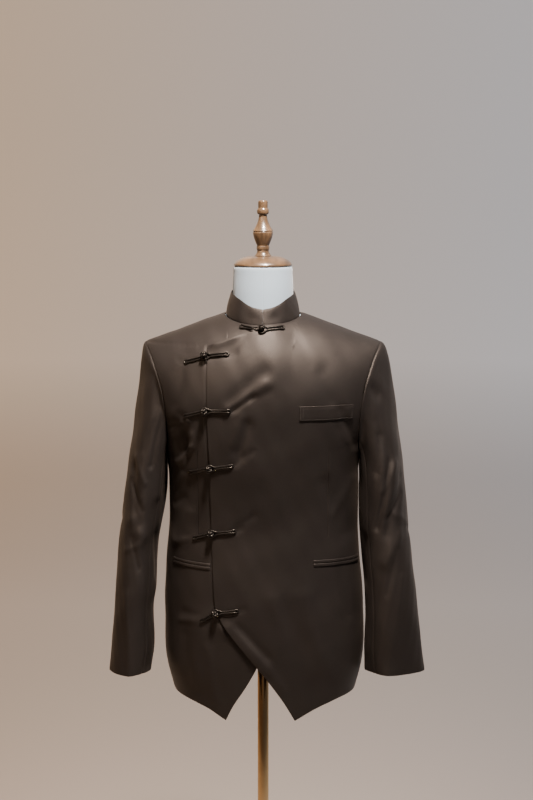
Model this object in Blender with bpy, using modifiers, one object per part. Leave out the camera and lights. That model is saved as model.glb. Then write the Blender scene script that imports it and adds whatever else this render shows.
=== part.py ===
"""A mandarin collar jacket with an asymmetric front and six frog closures, on a limbless dress form.

Metres, +Z up. The front faces -Y and +X is the wearer's left. The origin is the centre of the round
base's underside. Every cloth piece is an open sheet on the outer face of its panel, thickened inwards.
"""

import math
from collections import namedtuple

import bmesh
import bpy
from mathutils import Vector

NAME = "mandarin_collar_jacket"

# Cloth
WALL = 0.002
SEAM_GAP = 0.0007
OVERLAP_LIFT = 0.0031
OVERLAP_FULL = 0.018
OVERLAP_EASE = 0.042
UNDER_INSET = 0.0008
EDGE_MARGIN = 0.012
HEM_MARGIN = 0.004

# Body of the jacket: half width, front depth, back depth and how far it sways at each height
Girth = namedtuple("Girth", "z half_width front back sway")
BODY = (
    Girth(0.640, 0.162, 0.112, 0.108, 0.006),
    Girth(0.700, 0.174, 0.116, 0.113, 0.006),
    Girth(0.757, 0.187, 0.119, 0.117, 0.005),
    Girth(0.810, 0.191, 0.120, 0.119, 0.004),
    Girth(0.906, 0.189, 0.119, 0.120, 0.002),
    Girth(0.976, 0.185, 0.116, 0.117, 0.000),
    Girth(1.033, 0.182, 0.114, 0.115, 0.000),
    Girth(1.097, 0.182, 0.119, 0.118, 0.000),
    Girth(1.150, 0.186, 0.126, 0.123, 0.000),
    Girth(1.210, 0.200, 0.131, 0.127, 0.000),
    Girth(1.265, 0.217, 0.133, 0.128, 0.000),
    Girth(1.320, 0.236, 0.132, 0.127, 0.000),
    Girth(1.380, 0.250, 0.131, 0.125, 0.000),
    Girth(1.470, 0.256, 0.130, 0.125, 0.000),
)
BODY_ROUNDNESS = 2.4
SHOULDER_Y = 0.005
SHOULDER_PEAK = 1.4639
SHOULDER_SLOPE = 0.3738
SHOULDER_EASE = 0.025
FRONT_SHOULDER_DROP = 0.16
BACK_SHOULDER_DROP = 0.10

# Landmarks on the front view, x then z
SHOULDER_TIP_X = 0.2256
NECK_SIDE_X = 0.073
NECK_SIDE_Z = 1.435
NECK_FRONT_Z = 1.418
NECK_BACK_Z = 1.442
ARMPIT_Z = 1.155
SIDE_HEM_Z = 0.700
BACK_HEM_Z = 0.695

# Armhole seam from the shoulder tip to the armpit
Seam = namedtuple("Seam", "z x")
ARMHOLE = (
    Seam(1.155, 0.1868),
    Seam(1.158, 0.1862),
    Seam(1.168, 0.1842),
    Seam(1.185, 0.1828),
    Seam(1.209, 0.1824),
    Seam(1.235, 0.1835),
    Seam(1.265, 0.1865),
    Seam(1.300, 0.1930),
    Seam(1.325, 0.2010),
    Seam(1.355, 0.2125),
    Seam(1.370, 0.2205),
    Seam(1.3785, 0.2256),
)

# Free edge of the front that lies on top, from its tip to the corner at the upper chest
Edge = namedtuple("Edge", "z x")
OVER_EDGE = (
    Edge(0.658, 0.061),
    Edge(0.694, 0.043),
    Edge(0.727, 0.021),
    Edge(0.768, -0.014),
    Edge(0.822, -0.0555),
    Edge(0.858, -0.080),
    Edge(0.880, -0.0895),
    Edge(0.910, -0.0930),
    Edge(1.010, -0.0962),
    Edge(1.090, -0.0990),
    Edge(1.140, -0.1000),
    Edge(1.175, -0.1042),
    Edge(1.230, -0.1085),
    Edge(1.300, -0.1092),
    Edge(1.3805, -0.1055),
)

# Its slanting edge from that corner up to the centre front
Slant = namedtuple("Slant", "x z")
OVER_DIAGONAL = (
    Slant(-0.1055, 1.3805),
    Slant(-0.0910, 1.3857),
    Slant(-0.0670, 1.3945),
    Slant(-0.0310, 1.4075),
    Slant(-0.0030, 1.4182),
)

# Free edge of the front that lies beneath, mirrored so that its own side is +X
UNDER_EDGE = (
    Edge(0.658, 0.0716),
    Edge(0.688, 0.0600),
    Edge(0.728, 0.0360),
    Edge(0.768, 0.0140),
    Edge(0.810, -0.0030),
    Edge(0.850, -0.0060),
    Edge(1.200, -0.0060),
    Edge(1.418, -0.0060),
)
OVER_HEM = ((0.061, 0.658), (0.101, 0.679), (0.150, 0.695))
UNDER_HEM = ((0.0716, 0.658), (0.109, 0.680), (0.150, 0.693))

# Soft folds on the fronts: the two ends of each, its width, and how far it stands out
Fold = namedtuple("Fold", "x0 z0 x1 z1 width height")
FRONT_FOLDS = (
    Fold(-0.165, 1.245, -0.140, 1.165, 0.013, -0.0045),
    Fold(-0.060, 1.268, 0.004, 1.312, 0.012, 0.0035),
    Fold(-0.058, 1.280, 0.002, 1.334, 0.014, -0.0025),
    Fold(-0.046, 1.185, -0.026, 1.232, 0.013, -0.0030),
    Fold(-0.142, 1.060, -0.160, 1.005, 0.013, 0.0035),
    Fold(-0.070, 0.842, 0.002, 0.762, 0.012, 0.0035),
    Fold(0.120, 1.120, 0.160, 1.020, 0.016, -0.0035),
    Fold(0.080, 0.900, 0.120, 0.760, 0.022, 0.0035),
    Fold(-0.120, 0.860, -0.130, 0.740, 0.020, 0.0035),
    Fold(0.110, 1.330, 0.150, 1.230, 0.016, -0.0030),
)
BACK_FOLDS = (
    Fold(-0.110, 1.090, -0.030, 1.040, 0.015, -0.0040),
    Fold(0.115, 1.075, 0.040, 1.030, 0.015, -0.0040),
    Fold(-0.130, 1.240, -0.100, 1.130, 0.016, 0.0035),
    Fold(0.130, 1.250, 0.105, 1.140, 0.016, 0.0035),
    Fold(-0.070, 0.930, -0.085, 0.760, 0.024, 0.0040),
    Fold(0.060, 0.940, 0.075, 0.750, 0.024, 0.0040),
)

# Sleeves: height, centre, half width, half depth, roundness and how far the front crease leans
Ring = namedtuple("Ring", "z x y half_width half_depth roundness lean")
LEFT_RINGS = (
    Ring(0.737, 0.2585, -0.030, 0.0590, 0.045, 1.45, -0.0150),
    Ring(0.775, 0.2550, -0.027, 0.0570, 0.047, 1.60, -0.0120),
    Ring(0.815, 0.2530, -0.025, 0.0540, 0.050, 1.75, -0.0080),
    Ring(0.880, 0.2500, -0.020, 0.0505, 0.055, 1.90, -0.0030),
    Ring(0.955, 0.2430, -0.012, 0.0490, 0.060, 2.00, 0.0000),
    Ring(1.030, 0.2355, -0.004, 0.0480, 0.066, 2.00, 0.0000),
    Ring(1.100, 0.2315, 0.000, 0.0450, 0.071, 2.00, 0.0000),
    Ring(1.140, 0.2295, 0.002, 0.0430, 0.074, 2.00, 0.0000),
)
RIGHT_RINGS = (
    Ring(0.737, 0.2605, -0.030, 0.0410, 0.048, 1.45, 0.0000),
    Ring(0.790, 0.2550, -0.027, 0.0418, 0.051, 1.70, 0.0000),
    Ring(0.865, 0.2525, -0.021, 0.0380, 0.057, 1.90, 0.0000),
    Ring(0.905, 0.2480, -0.018, 0.0393, 0.060, 2.00, 0.0000),
    Ring(0.990, 0.2430, -0.008, 0.0385, 0.066, 2.00, 0.0000),
    Ring(1.030, 0.2370, -0.004, 0.0400, 0.069, 2.00, 0.0000),
    Ring(1.100, 0.2275, 0.000, 0.0410, 0.073, 2.00, 0.0000),
    Ring(1.140, 0.2240, 0.002, 0.0385, 0.075, 2.00, 0.0000),
)
BICEPS_Z = 1.100
CUFF_Z = 0.737
CAP_REACH = {"left": 0.060, "right": 0.022}
LONG_CAP_REACH = 5.0
SHORT_CAP_DROP = 0.15
SLEEVE_CLEARANCE = 0.0013
FRONT_SLEEVE_SEAM = 135.0
BACK_SLEEVE_SEAM = -110.0

# Folds of a sleeve: degrees from its outer side towards the front, height, width and height out
SleeveFold = namedtuple("SleeveFold", "turn0 z0 turn1 z1 width height")
LEFT_SLEEVE_FOLDS = (
    SleeveFold(75, 1.318, 60, 1.285, 0.012, -0.0045),
    SleeveFold(35, 1.120, 95, 1.020, 0.012, -0.0040),
    SleeveFold(60, 1.010, 100, 0.960, 0.014, 0.0035),
    SleeveFold(-60, 1.060, -95, 0.990, 0.014, -0.0035),
    SleeveFold(150, 1.000, 170, 0.920, 0.012, -0.0030),
)
RIGHT_SLEEVE_FOLDS = (
    SleeveFold(60, 1.325, 85, 1.265, 0.014, -0.0045),
    SleeveFold(50, 1.145, 85, 1.035, 0.012, -0.0040),
    SleeveFold(70, 1.045, 105, 1.010, 0.014, 0.0035),
    SleeveFold(-60, 1.070, -95, 1.000, 0.014, -0.0035),
    SleeveFold(150, 1.010, 170, 0.930, 0.012, -0.0030),
    SleeveFold(0, 1.300, 0, 1.210, 0.050, -0.0055),
)
FOLD_FADE = 0.20

# Stand collar: turn from the centre front, then outer radius across, depth and height of its top
Collar = namedtuple("Collar", "turn x y z")
COLLAR_TOP = (
    Collar(0, 0.0000, -0.0700, 1.4470),
    Collar(20, 0.0225, -0.0670, 1.4525),
    Collar(45, 0.0450, -0.0490, 1.4655),
    Collar(90, 0.0612, 0.0010, 1.4780),
    Collar(135, 0.0440, 0.0500, 1.4830),
    Collar(180, 0.0000, 0.0670, 1.4840),
)
COLLAR_CLEARANCE = 0.0012
COLLAR_INSET = 0.0008

# Pockets, x and z of their ends on the front view
WELT = (0.0675, 0.1690, 1.2430, 1.2710)
WELT_THICKNESS = 0.0018
Jet = namedtuple("Jet", "name x0 x1 z0 z1")
HIP_POCKETS = (Jet("left", 0.096, 0.1835, 0.9670, 0.9640), Jet("right", -0.172, -0.107, 0.9660, 0.9610))
JET_WIDTH = 0.0060
JET_SPACING = 0.0066
JET_THICKNESS = 0.0015
TRIM_CLEARANCE = 0.0008

# Frog closures: the knot, the outer end of the button strap and the outer end of the loop strap
Frog = namedtuple("Frog", "name knot_x knot_z button_x button_z loop_x loop_z")
FROGS = (
    Frog("1", -0.0020, 1.4085, -0.0430, 1.4155, 0.0396, 1.4130),
    Frog("2", -0.1075, 1.3590, -0.1468, 1.3460, -0.0625, 1.3646),
    Frog("3", -0.1095, 1.2610, -0.1475, 1.2520, -0.0601, 1.2630),
    Frog("4", -0.1022, 1.1520, -0.1399, 1.1450, -0.0556, 1.1580),
    Frog("5", -0.0975, 1.0260, -0.1325, 1.0175, -0.0508, 1.0320),
    Frog("6", -0.0870, 0.8730, -0.1190, 0.8590, -0.0505, 0.8770),
)
CORD_RADIUS = 0.00175
CORD_CLEARANCE = 0.0007
CORD_HALF_PITCH = 0.00215
KNOT_RADIUS = 0.0072
KNOT_LIFT = 0.0108
BUTTON_STRAP_START = 0.0058
LOOP_STRAP_START = 0.0077
STRAP_END_RISE = 0.0020
STRAP_RISE_LENGTH = 0.010
COVER_REACH = 0.0070
COVER_EASE = 0.0045

# Dress form: its inset from the jacket's outer face and its half width at the armholes
Inset = namedtuple("Inset", "z inset half_width")
FORM = (
    Inset(0.800, 0.0160, 0.172),
    Inset(0.906, 0.0150, 0.174),
    Inset(1.033, 0.0130, 0.166),
    Inset(1.150, 0.0100, 0.164),
    Inset(1.210, 0.0080, 0.166),
    Inset(1.300, 0.0060, 0.178),
    Inset(1.350, 0.0045, 0.192),
    Inset(1.385, 0.0035, 0.196),
    Inset(1.415, 0.0045, 0.196),
    Inset(1.440, 0.0100, 0.196),
)
FORM_SHOULDER_DROP = 0.0031
FORM_SQUARENESS = 8.0
FORM_BOTTOM = 0.800
FORM_TOP = 1.440
SEAT = 0.0003

# Turned pieces, radius and height from top to bottom
Turn = namedtuple("Turn", "radius z")
FINIAL = (
    Turn(0.0000, 1.6505),
    Turn(0.0070, 1.6500),
    Turn(0.0093, 1.6480),
    Turn(0.0093, 1.6360),
    Turn(0.0112, 1.6325),
    Turn(0.0112, 1.6250),
    Turn(0.0078, 1.6235),
    Turn(0.0105, 1.6090),
    Turn(0.0150, 1.6000),
    Turn(0.0196, 1.5930),
    Turn(0.0182, 1.5915),
    Turn(0.0190, 1.5900),
    Turn(0.0170, 1.5785),
    Turn(0.0114, 1.5645),
    Turn(0.0118, 1.5560),
    Turn(0.0112, 1.5540),
    Turn(0.0164, 1.5450),
    Turn(0.0000, 1.5450),
)
CAP = (
    Turn(0.0000, 1.5447),
    Turn(0.0300, 1.5435),
    Turn(0.0450, 1.5385),
    Turn(0.0535, 1.5320),
    Turn(0.0556, 1.5285),
    Turn(0.0545, 1.5253),
    Turn(0.0000, 1.5253),
)
NECK_BLOCK = (
    Turn(0.0000, 1.5250),
    Turn(0.0545, 1.5250),
    Turn(0.0560, 1.5235),
    Turn(0.0580, 1.4780),
    Turn(0.0580, 1.4403),
    Turn(0.0000, 1.4403),
)
POLE_RADIUS = 0.011
POLE_FIT = 0.0003
BASE_RADIUS = 0.175
BASE = (
    Turn(0.0000, 0.0160),
    Turn(0.0400, 0.0160),
    Turn(0.1500, 0.0125),
    Turn(0.1720, 0.0100),
    Turn(BASE_RADIUS, 0.0065),
    Turn(BASE_RADIUS, 0.0000),
    Turn(0.0000, 0.0000),
)
FOOT = (
    Turn(POLE_RADIUS + POLE_FIT, 0.0520),
    Turn(0.0170, 0.0520),
    Turn(0.0190, 0.0500),
    Turn(0.0190, 0.0280),
    Turn(0.0340, 0.0200),
    Turn(0.0340, 0.0163),
    Turn(POLE_RADIUS + POLE_FIT, 0.0163),
)
SOCKET = (
    Turn(POLE_RADIUS + POLE_FIT, 0.7997),
    Turn(0.0300, 0.7997),
    Turn(0.0300, 0.7960),
    Turn(0.0200, 0.7930),
    Turn(0.0200, 0.7700),
    Turn(0.0185, 0.7685),
    Turn(POLE_RADIUS + POLE_FIT, 0.7685),
)


def clear_scene():
    for obj in list(bpy.data.objects):
        bpy.data.objects.remove(obj, do_unlink=True)


def material(name, colour, roughness, metallic=0.0):
    made = bpy.data.materials.new(name)
    made.use_nodes = True
    shader = made.node_tree.nodes["Principled BSDF"]
    shader.inputs["Base Color"].default_value = (*colour, 1.0)
    shader.inputs["Roughness"].default_value = roughness
    shader.inputs["Metallic"].default_value = metallic
    made.diffuse_color = (*colour, 1.0)
    return made


def read(rows, key, column):
    """The value of a column at a key, on a smooth curve through the table's rows."""
    keys = [row[0] for row in rows]
    values = [getattr(row, column) for row in rows]
    key = min(max(key, keys[0]), keys[-1])
    i = 0
    while i < len(keys) - 2 and key > keys[i + 1]:
        i += 1

    def slope(j):
        low = max(j - 1, 0)
        high = min(j + 1, len(keys) - 1)
        return (values[high] - values[low]) / (keys[high] - keys[low])

    span = keys[i + 1] - keys[i]
    t = (key - keys[i]) / span
    return (
        values[i] * (1 + 2 * t) * (1 - t) ** 2
        + slope(i) * span * t * (1 - t) ** 2
        + values[i + 1] * t * t * (3 - 2 * t)
        + slope(i + 1) * span * t * t * (t - 1)
    )


def along(points, t):
    """The point at share t of a chain of points, by length."""
    points = [Vector(point) for point in points]
    lengths = [(b - a).length for a, b in zip(points, points[1:])]
    left = t * sum(lengths)
    for a, b, length in zip(points, points[1:], lengths):
        if left <= length or b is points[-1]:
            return a.lerp(b, min(left / length, 1.0))
        left -= length
    return points[-1]


def shoulder_height(x):
    return SHOULDER_PEAK - SHOULDER_SLOPE * math.hypot(x, SHOULDER_EASE)


def shoulder_rounding(drop, full_drop):
    share = min(max(drop / full_drop, 0.0), 1.0)
    return math.sqrt(1 - (1 - share) ** 2)


def fold_height(folds, x, z):
    total = 0.0
    for fold in folds:
        start = Vector((fold.x0, fold.z0))
        run = Vector((fold.x1, fold.z1)) - start
        point = Vector((x, z)) - start
        share = point.dot(run) / run.length_squared
        inside = min(max(share, 0.0), 1.0)
        distance = (point - run * inside).length
        total += fold.height * math.exp(-((distance / fold.width) ** 2))
    return total


def across(turn, z):
    """How far to the wearer's left a turn from the centre front or back lies."""
    return read(BODY, z, "sway") + read(BODY, z, "half_width") * math.sin(turn)


def bare_body(turn, z, side):
    """A point of the body at a turn in radians from the centre front (side -1) or back (side 1)."""
    x = across(turn, z)
    depth = read(BODY, z, "front" if side < 0 else "back")
    full_drop = FRONT_SHOULDER_DROP if side < 0 else BACK_SHOULDER_DROP
    round_side = max(1 - abs(math.sin(turn)) ** BODY_ROUNDNESS, 0.0) ** (1 / BODY_ROUNDNESS)
    rounding = shoulder_rounding(shoulder_height(x) - z, full_drop)
    return Vector((x, SHOULDER_Y + side * depth * round_side * rounding, z))


def body_normal(turn, z, side):
    step = 0.002
    x = across(turn, z)
    z = min(z, shoulder_height(x) - 2 * step)
    turn = min(max(turn, -math.pi / 2 + 2 * step), math.pi / 2 - 2 * step)
    sideways = bare_body(turn + step, z, side) - bare_body(turn - step, z, side)
    up = bare_body(turn, z + step, side) - bare_body(turn, z - step, side)
    return sideways.cross(up).normalized() * -side


def body(turn, z, side, lift=0.0, covered=0.0):
    """The jacket's outer face with its folds, moved out by lift. A covered place keeps only its hollows."""
    point = bare_body(turn, z, side)
    fold = fold_height(FRONT_FOLDS if side < 0 else BACK_FOLDS, point.x, z)
    lift += fold - covered * max(fold, 0.0)
    point += body_normal(turn, z, side) * lift
    point.y += side * SEAM_GAP / 2
    return point


def turn_at(x, z):
    share = (x - read(BODY, z, "sway")) / read(BODY, z, "half_width")
    return math.asin(min(max(share, -1.0), 1.0))


def front(x, z, lift=0.0):
    return body(turn_at(x, z), z, -1, lift)


def sheet(name, columns, rows, place, look, thickness=WALL, flip=False):
    """An open grid whose points are placed on a surface, thickened inwards."""
    bm = bmesh.new()
    bmesh.ops.create_grid(bm, x_segments=len(columns) - 1, y_segments=len(rows) - 1, size=0.5)
    for vertex in bm.verts:
        column = round((vertex.co.x + 0.5) * (len(columns) - 1))
        row = round((vertex.co.y + 0.5) * (len(rows) - 1))
        vertex.co = place(columns[column], rows[row])
    if flip:
        bmesh.ops.reverse_faces(bm, faces=bm.faces)
    mesh = bpy.data.meshes.new(name)
    bm.to_mesh(mesh)
    bm.free()
    mesh.shade_smooth()
    obj = add(name, mesh, look)
    solidify = obj.modifiers.new("Wall", "SOLIDIFY")
    solidify.thickness = thickness
    solidify.offset = -1
    return obj


def add(name, data, look):
    obj = bpy.data.objects.new(name, data)
    obj.data.materials.append(look)
    bpy.data.collections[NAME].objects.link(obj)
    return obj


def turned(name, profile, look, steps=20):
    """A profile turned round the upright axis, closed where it doesn't start and end on it."""
    mesh = bpy.data.meshes.new(name)
    points = [(row.radius, 0.0, row.z) for row in profile]
    edges = [(i, i + 1) for i in range(len(points) - 1)]
    if profile[0].radius > 0:
        edges.append((len(points) - 1, 0))
    mesh.from_pydata(points, edges, [])
    obj = add(name, mesh, look)
    screw = obj.modifiers.new("Turn", "SCREW")
    screw.steps = steps
    screw.render_steps = steps
    screw.use_merge_vertices = True
    screw.merge_threshold = 0.0001
    screw.use_smooth_shade = True
    return obj


def cord(name, points, look):
    curve = bpy.data.curves.new(name, "CURVE")
    curve.dimensions = "3D"
    curve.bevel_depth = CORD_RADIUS
    curve.bevel_resolution = 2
    curve.use_fill_caps = True
    spline = curve.splines.new("POLY")
    spline.points.add(len(points) - 1)
    for spline_point, point in zip(spline.points, points):
        spline_point.co = (*point, 1.0)
    return add(name, curve, look)


def patch(left, right, bottom, top):
    """Blends four borders, each a function of a share from 0 to 1, into one surface."""

    def place(u, v):
        corners = (
            bottom(0) * (1 - u) * (1 - v) + bottom(1) * u * (1 - v) + top(0) * (1 - u) * v + top(1) * u * v
        )
        return bottom(u) * (1 - v) + top(u) * v + left(v) * (1 - u) + right(v) * u - corners

    return place


def panel_rows():
    """Shares of a panel's height, closer together where the shoulder rounds over and at the armpit."""
    drops = [0.0, 0.00012, 0.0022, 0.0080, 0.0180, 0.0340, 0.0560, 0.0820]
    heights = [SHOULDER_TIP_Z - drop for drop in drops]
    heights += [1.265, 1.235, 1.209, 1.183, 1.165, ARMPIT_Z]
    steps = 14
    fall = ARMPIT_Z - SIDE_HEM_Z - HEM_MARGIN
    heights += [ARMPIT_Z - fall * i / steps for i in range(1, steps + 1)]
    heights.append(SIDE_HEM_Z)
    return [(height - SIDE_HEM_Z) / (SHOULDER_TIP_Z - SIDE_HEM_Z) for height in reversed(heights)]


def side_border(v):
    """The side seam and the armhole above it, as a turn and a height."""
    z = SIDE_HEM_Z + (SHOULDER_TIP_Z - SIDE_HEM_Z) * v
    if z <= ARMPIT_Z + 1e-6:
        return Vector((math.pi / 2, z))
    return Vector((turn_at(read(ARMHOLE, z, "x"), z), z))


def edge_border(rows, sign=1):
    """A front's free edge. Sign is -1 for the wearer's right front, whose tables are mirrored."""

    def border(v):
        z = rows[0].z + (rows[-1].z - rows[0].z) * v
        return Vector((sign * turn_at(sign * read(rows, z, "x"), z), z))

    return border


def neckline(share, centre_z):
    """The collar seam from the centre at 0 to the shoulder at 1, as x and z."""
    angle = share * math.pi / 2
    x = NECK_SIDE_X * math.sin(angle)
    z = centre_z + (NECK_SIDE_Z - centre_z) * (1 - math.cos(angle) ** 1.5)
    return Vector((x, min(z, shoulder_height(x))))


def front_top(start, diagonal, corner_share, neck_share, sign=1):
    """A front's top border: its diagonal edge, if it has one, its neckline and its shoulder seam."""
    first = math.asin(start / NECK_SIDE_X) / (math.pi / 2)

    def border(u):
        if u < corner_share:
            point = along(diagonal, u / corner_share)
        elif u < neck_share:
            share = (u - corner_share) / (neck_share - corner_share)
            point = neckline(first + (1 - first) * share, NECK_FRONT_Z)
        else:
            share = (u - neck_share) / (1 - neck_share)
            x = NECK_SIDE_X + (SHOULDER_TIP_X - NECK_SIDE_X) * share
            point = Vector((x, shoulder_height(x)))
        return Vector((sign * turn_at(sign * point.x, point.y), point.y))

    return border


def hem_border(points, sign=1):
    chain = [Vector((sign * turn_at(sign * x, z), z)) for x, z in points]
    chain.append(Vector((math.pi / 2, SIDE_HEM_Z)))
    return lambda u: along(chain, u)


def spread(stops, counts):
    """Shares from 0 to 1 through the stops, with the given number of steps in each stretch."""
    shares = [0.0]
    for start, end, count in zip(stops, stops[1:], counts):
        shares += [start + (end - start) * i / count for i in range(1, count + 1)]
    return shares


def overlap_lift(x):
    """How far the top front stands out over the front beneath, easing to nothing past its edge."""
    share = min(max((x - OVERLAP_FULL) / OVERLAP_EASE, 0.0), 1.0)
    return OVERLAP_LIFT * (1 - share * share * (3 - 2 * share))


def cover(x, z):
    """1 on the front that lies on top, easing to 0 just outside its edge."""
    if z < OVER_EDGE[-1].z:
        inside = x - read(OVER_EDGE, z, "x")
    else:
        inside = read(OVER_DIAGONAL, x, "z") - z
    share = min(max((inside + COVER_REACH) / COVER_EASE, 0.0), 1.0)
    return share * share * (3 - 2 * share)


def make_front_over(look):
    stops = (0.0, EDGE_MARGIN, 0.34, 0.56, 0.93, 0.993, 1.0)
    columns = spread(stops, (1, 4, 4, 4, 1, 1))
    surface = patch(
        edge_border(OVER_EDGE),
        side_border,
        hem_border(OVER_HEM),
        front_top(-0.003, OVER_DIAGONAL, 0.34, 0.56),
    )

    def place(u, v):
        turn, z = surface(u, v)
        return body(turn, z, -1, overlap_lift(across(turn, z)))

    sheet("front_over", columns, panel_rows(), place, look)


def make_front_under(look):
    columns = spread((0.0, EDGE_MARGIN, 0.33, 0.93, 0.993, 1.0), (1, 4, 4, 1, 1))
    surface = patch(
        edge_border(UNDER_EDGE, -1),
        side_border,
        hem_border(UNDER_HEM, -1),
        front_top(-0.006, (), 0.0, 0.33, -1),
    )

    def place(u, v):
        turn, z = surface(u, v)
        covered = cover(across(-turn, z), z)
        return body(-turn, z, -1, -UNDER_INSET * covered, covered)

    sheet("front_under", columns, panel_rows(), place, look, flip=True)


def make_back(look):
    half = (0.007, 0.07)
    stops = (0.0, half[0], half[1], 0.32, 0.68, 1 - half[1], 1 - half[0], 1.0)
    columns = spread(stops, (1, 1, 4, 6, 4, 1, 1))

    def top(u):
        inward = 1 - abs(2 * u - 1)
        sign = 1 if u < 0.5 else -1
        if inward < 0.64:
            share = inward / 0.64
            x = SHOULDER_TIP_X + (NECK_SIDE_X - SHOULDER_TIP_X) * share
            point = Vector((x, shoulder_height(x)))
        else:
            point = neckline((1 - inward) / 0.36, NECK_BACK_Z)
        return Vector((sign * turn_at(point.x, point.y), point.y))

    def bottom(u):
        rise = (2 * u - 1) ** 2
        return Vector((math.pi / 2 * (1 - 2 * u), BACK_HEM_Z + (SIDE_HEM_Z - BACK_HEM_Z) * rise))

    def right(v):
        turn, z = side_border(v)
        return Vector((-turn, z))

    surface = patch(side_border, right, bottom, top)

    def place(u, v):
        turn, z = surface(u, v)
        return body(turn, z, 1)

    sheet("back", columns, panel_rows(), place, look)


def collar_foot(turn):
    """The collar seam at a turn in degrees from the centre front, just above the panels."""
    ahead = turn <= 90
    share = turn / 90 if ahead else (180 - turn) / 90
    x, z = neckline(share, NECK_FRONT_Z if ahead else NECK_BACK_Z)
    point = bare_body(turn_at(x, z), z, -1 if ahead else 1)
    inward = Vector((-point.x, -point.y, 0)).normalized()
    return point + inward * COLLAR_INSET + Vector((0, 0, COLLAR_CLEARANCE))


def make_collars(look):
    gap_turn = 0.25
    half_gap = 0.0004

    def surface(turn, v):
        foot = collar_foot(turn)
        top = Vector((read(COLLAR_TOP, turn, "x"), read(COLLAR_TOP, turn, "y"), read(COLLAR_TOP, turn, "z")))
        bow = math.sin(v * math.pi) * 0.0012
        outward = Vector((foot.x, foot.y, 0)).normalized()
        return foot.lerp(top, v) + outward * bow

    turns_round = [gap_turn, 3] + [180 * i / 14 for i in range(1, 14)] + [177, 180 - gap_turn]
    rows = [0.0, 0.08, 0.35, 0.65, 0.92, 1.0]
    for side, sign in (("left", 1), ("right", -1)):

        def place(turn, v, sign=sign):
            point = surface(turn, v)
            return Vector((sign * (point.x + half_gap), point.y, point.z))

        sheet(f"collar_{side}", turns_round, rows, place, look, flip=sign < 0)


def armhole_chain(side):
    """Points down one half of the armhole, from the shoulder tip to the armpit."""
    steps = 40
    shares = [(1 - math.cos(math.pi * i / steps)) / 2 for i in range(steps + 1)]
    heights = [SHOULDER_TIP_Z + (ARMPIT_Z - SHOULDER_TIP_Z) * share for share in shares]
    return [(turn_at(read(ARMHOLE, z, "x"), z), z, side) for z in heights]


def armhole(turn):
    """The armhole seam at a turn from the shoulder tip, and the way the sleeve leaves it."""
    side = -1 if turn >= 0 else 1
    chain = armhole_chain(side)
    points = [bare_body(*row) for row in chain]
    lengths = [(b - a).length for a, b in zip(points, points[1:])]
    left = abs(turn) / 180 * sum(lengths)
    i = 0
    while i < len(lengths) - 1 and left > lengths[i]:
        left -= lengths[i]
        i += 1
    share = min(left / lengths[i], 1.0)
    point = points[i].lerp(points[i + 1], share)
    point.y += side * SEAM_GAP / 2
    seam = (points[i + 1] - points[i]).normalized()
    body_turn, z, _ = chain[i]
    out = body_normal(body_turn, z, side).cross(seam).normalized()
    if out.x < 0:
        out = -out
    under = min(max((abs(turn) - 105) / 65, 0.0), 1.0)
    under = under * under * (3 - 2 * under)
    leave = out.lerp(Vector((0.12, 0, -1)), under).normalized()
    off = out.lerp(Vector((1, 0, 0)), under).normalized()
    return point + off * SLEEVE_CLEARANCE, leave


def sleeve_ring(rings, turn, z):
    """A sleeve's point at a turn in degrees from its outer side towards the front."""
    angle = math.radians(turn)
    power = 2 / read(rings, z, "roundness")
    across = math.copysign(abs(math.cos(angle)) ** power, math.cos(angle))
    ahead = math.copysign(abs(math.sin(angle)) ** power, math.sin(angle))
    lean = read(rings, z, "lean") * max(ahead, 0.0) ** 3
    x = read(rings, z, "x") + read(rings, z, "half_width") * across + lean
    return Vector((x, read(rings, z, "y") - read(rings, z, "half_depth") * ahead, z))


def sleeve(rings, folds, cap_reach, turn, v):
    """A sleeve's outer face: v runs from 1 at the armhole to 0 at the biceps, and to -1 at the cuff."""
    if v <= 0:
        z = BICEPS_Z + (BICEPS_Z - CUFF_Z) * v
        point = sleeve_ring(rings, turn, z)
    else:
        start, leave = armhole(turn)
        end = sleeve_ring(rings, turn, BICEPS_Z)
        step = 0.002
        fall = (sleeve_ring(rings, turn, BICEPS_Z - step) - end) / step
        drop = start.z - end.z
        reach = cap_reach * (1 + LONG_CAP_REACH * max(drop - SHORT_CAP_DROP, 0.0))
        t = 1 - v
        point = (
            start * (1 + 2 * t) * (1 - t) ** 2
            + leave * reach * t * (1 - t) ** 2
            + end * t * t * (3 - 2 * t)
            + fall * drop * t * t * (t - 1)
        )
    out = Vector((math.cos(math.radians(turn)), -math.sin(math.radians(turn)), 0))
    fade = min((1 - v) / FOLD_FADE, 1.0)
    fade = fade * fade * (3 - 2 * fade)
    return point + out * sleeve_fold_height(folds, turn, point.z) * fade


def sleeve_fold_height(folds, turn, z):
    metres_per_degree = 0.001
    total = 0.0
    for fold in folds:
        start = Vector((fold.turn0 * metres_per_degree, fold.z0))
        run = Vector((fold.turn1 * metres_per_degree, fold.z1)) - start
        point = Vector((turn * metres_per_degree, z)) - start
        inside = min(max(point.dot(run) / run.length_squared, 0.0), 1.0)
        total += fold.height * math.exp(-(((point - run * inside).length / fold.width) ** 2))
    return total


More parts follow.
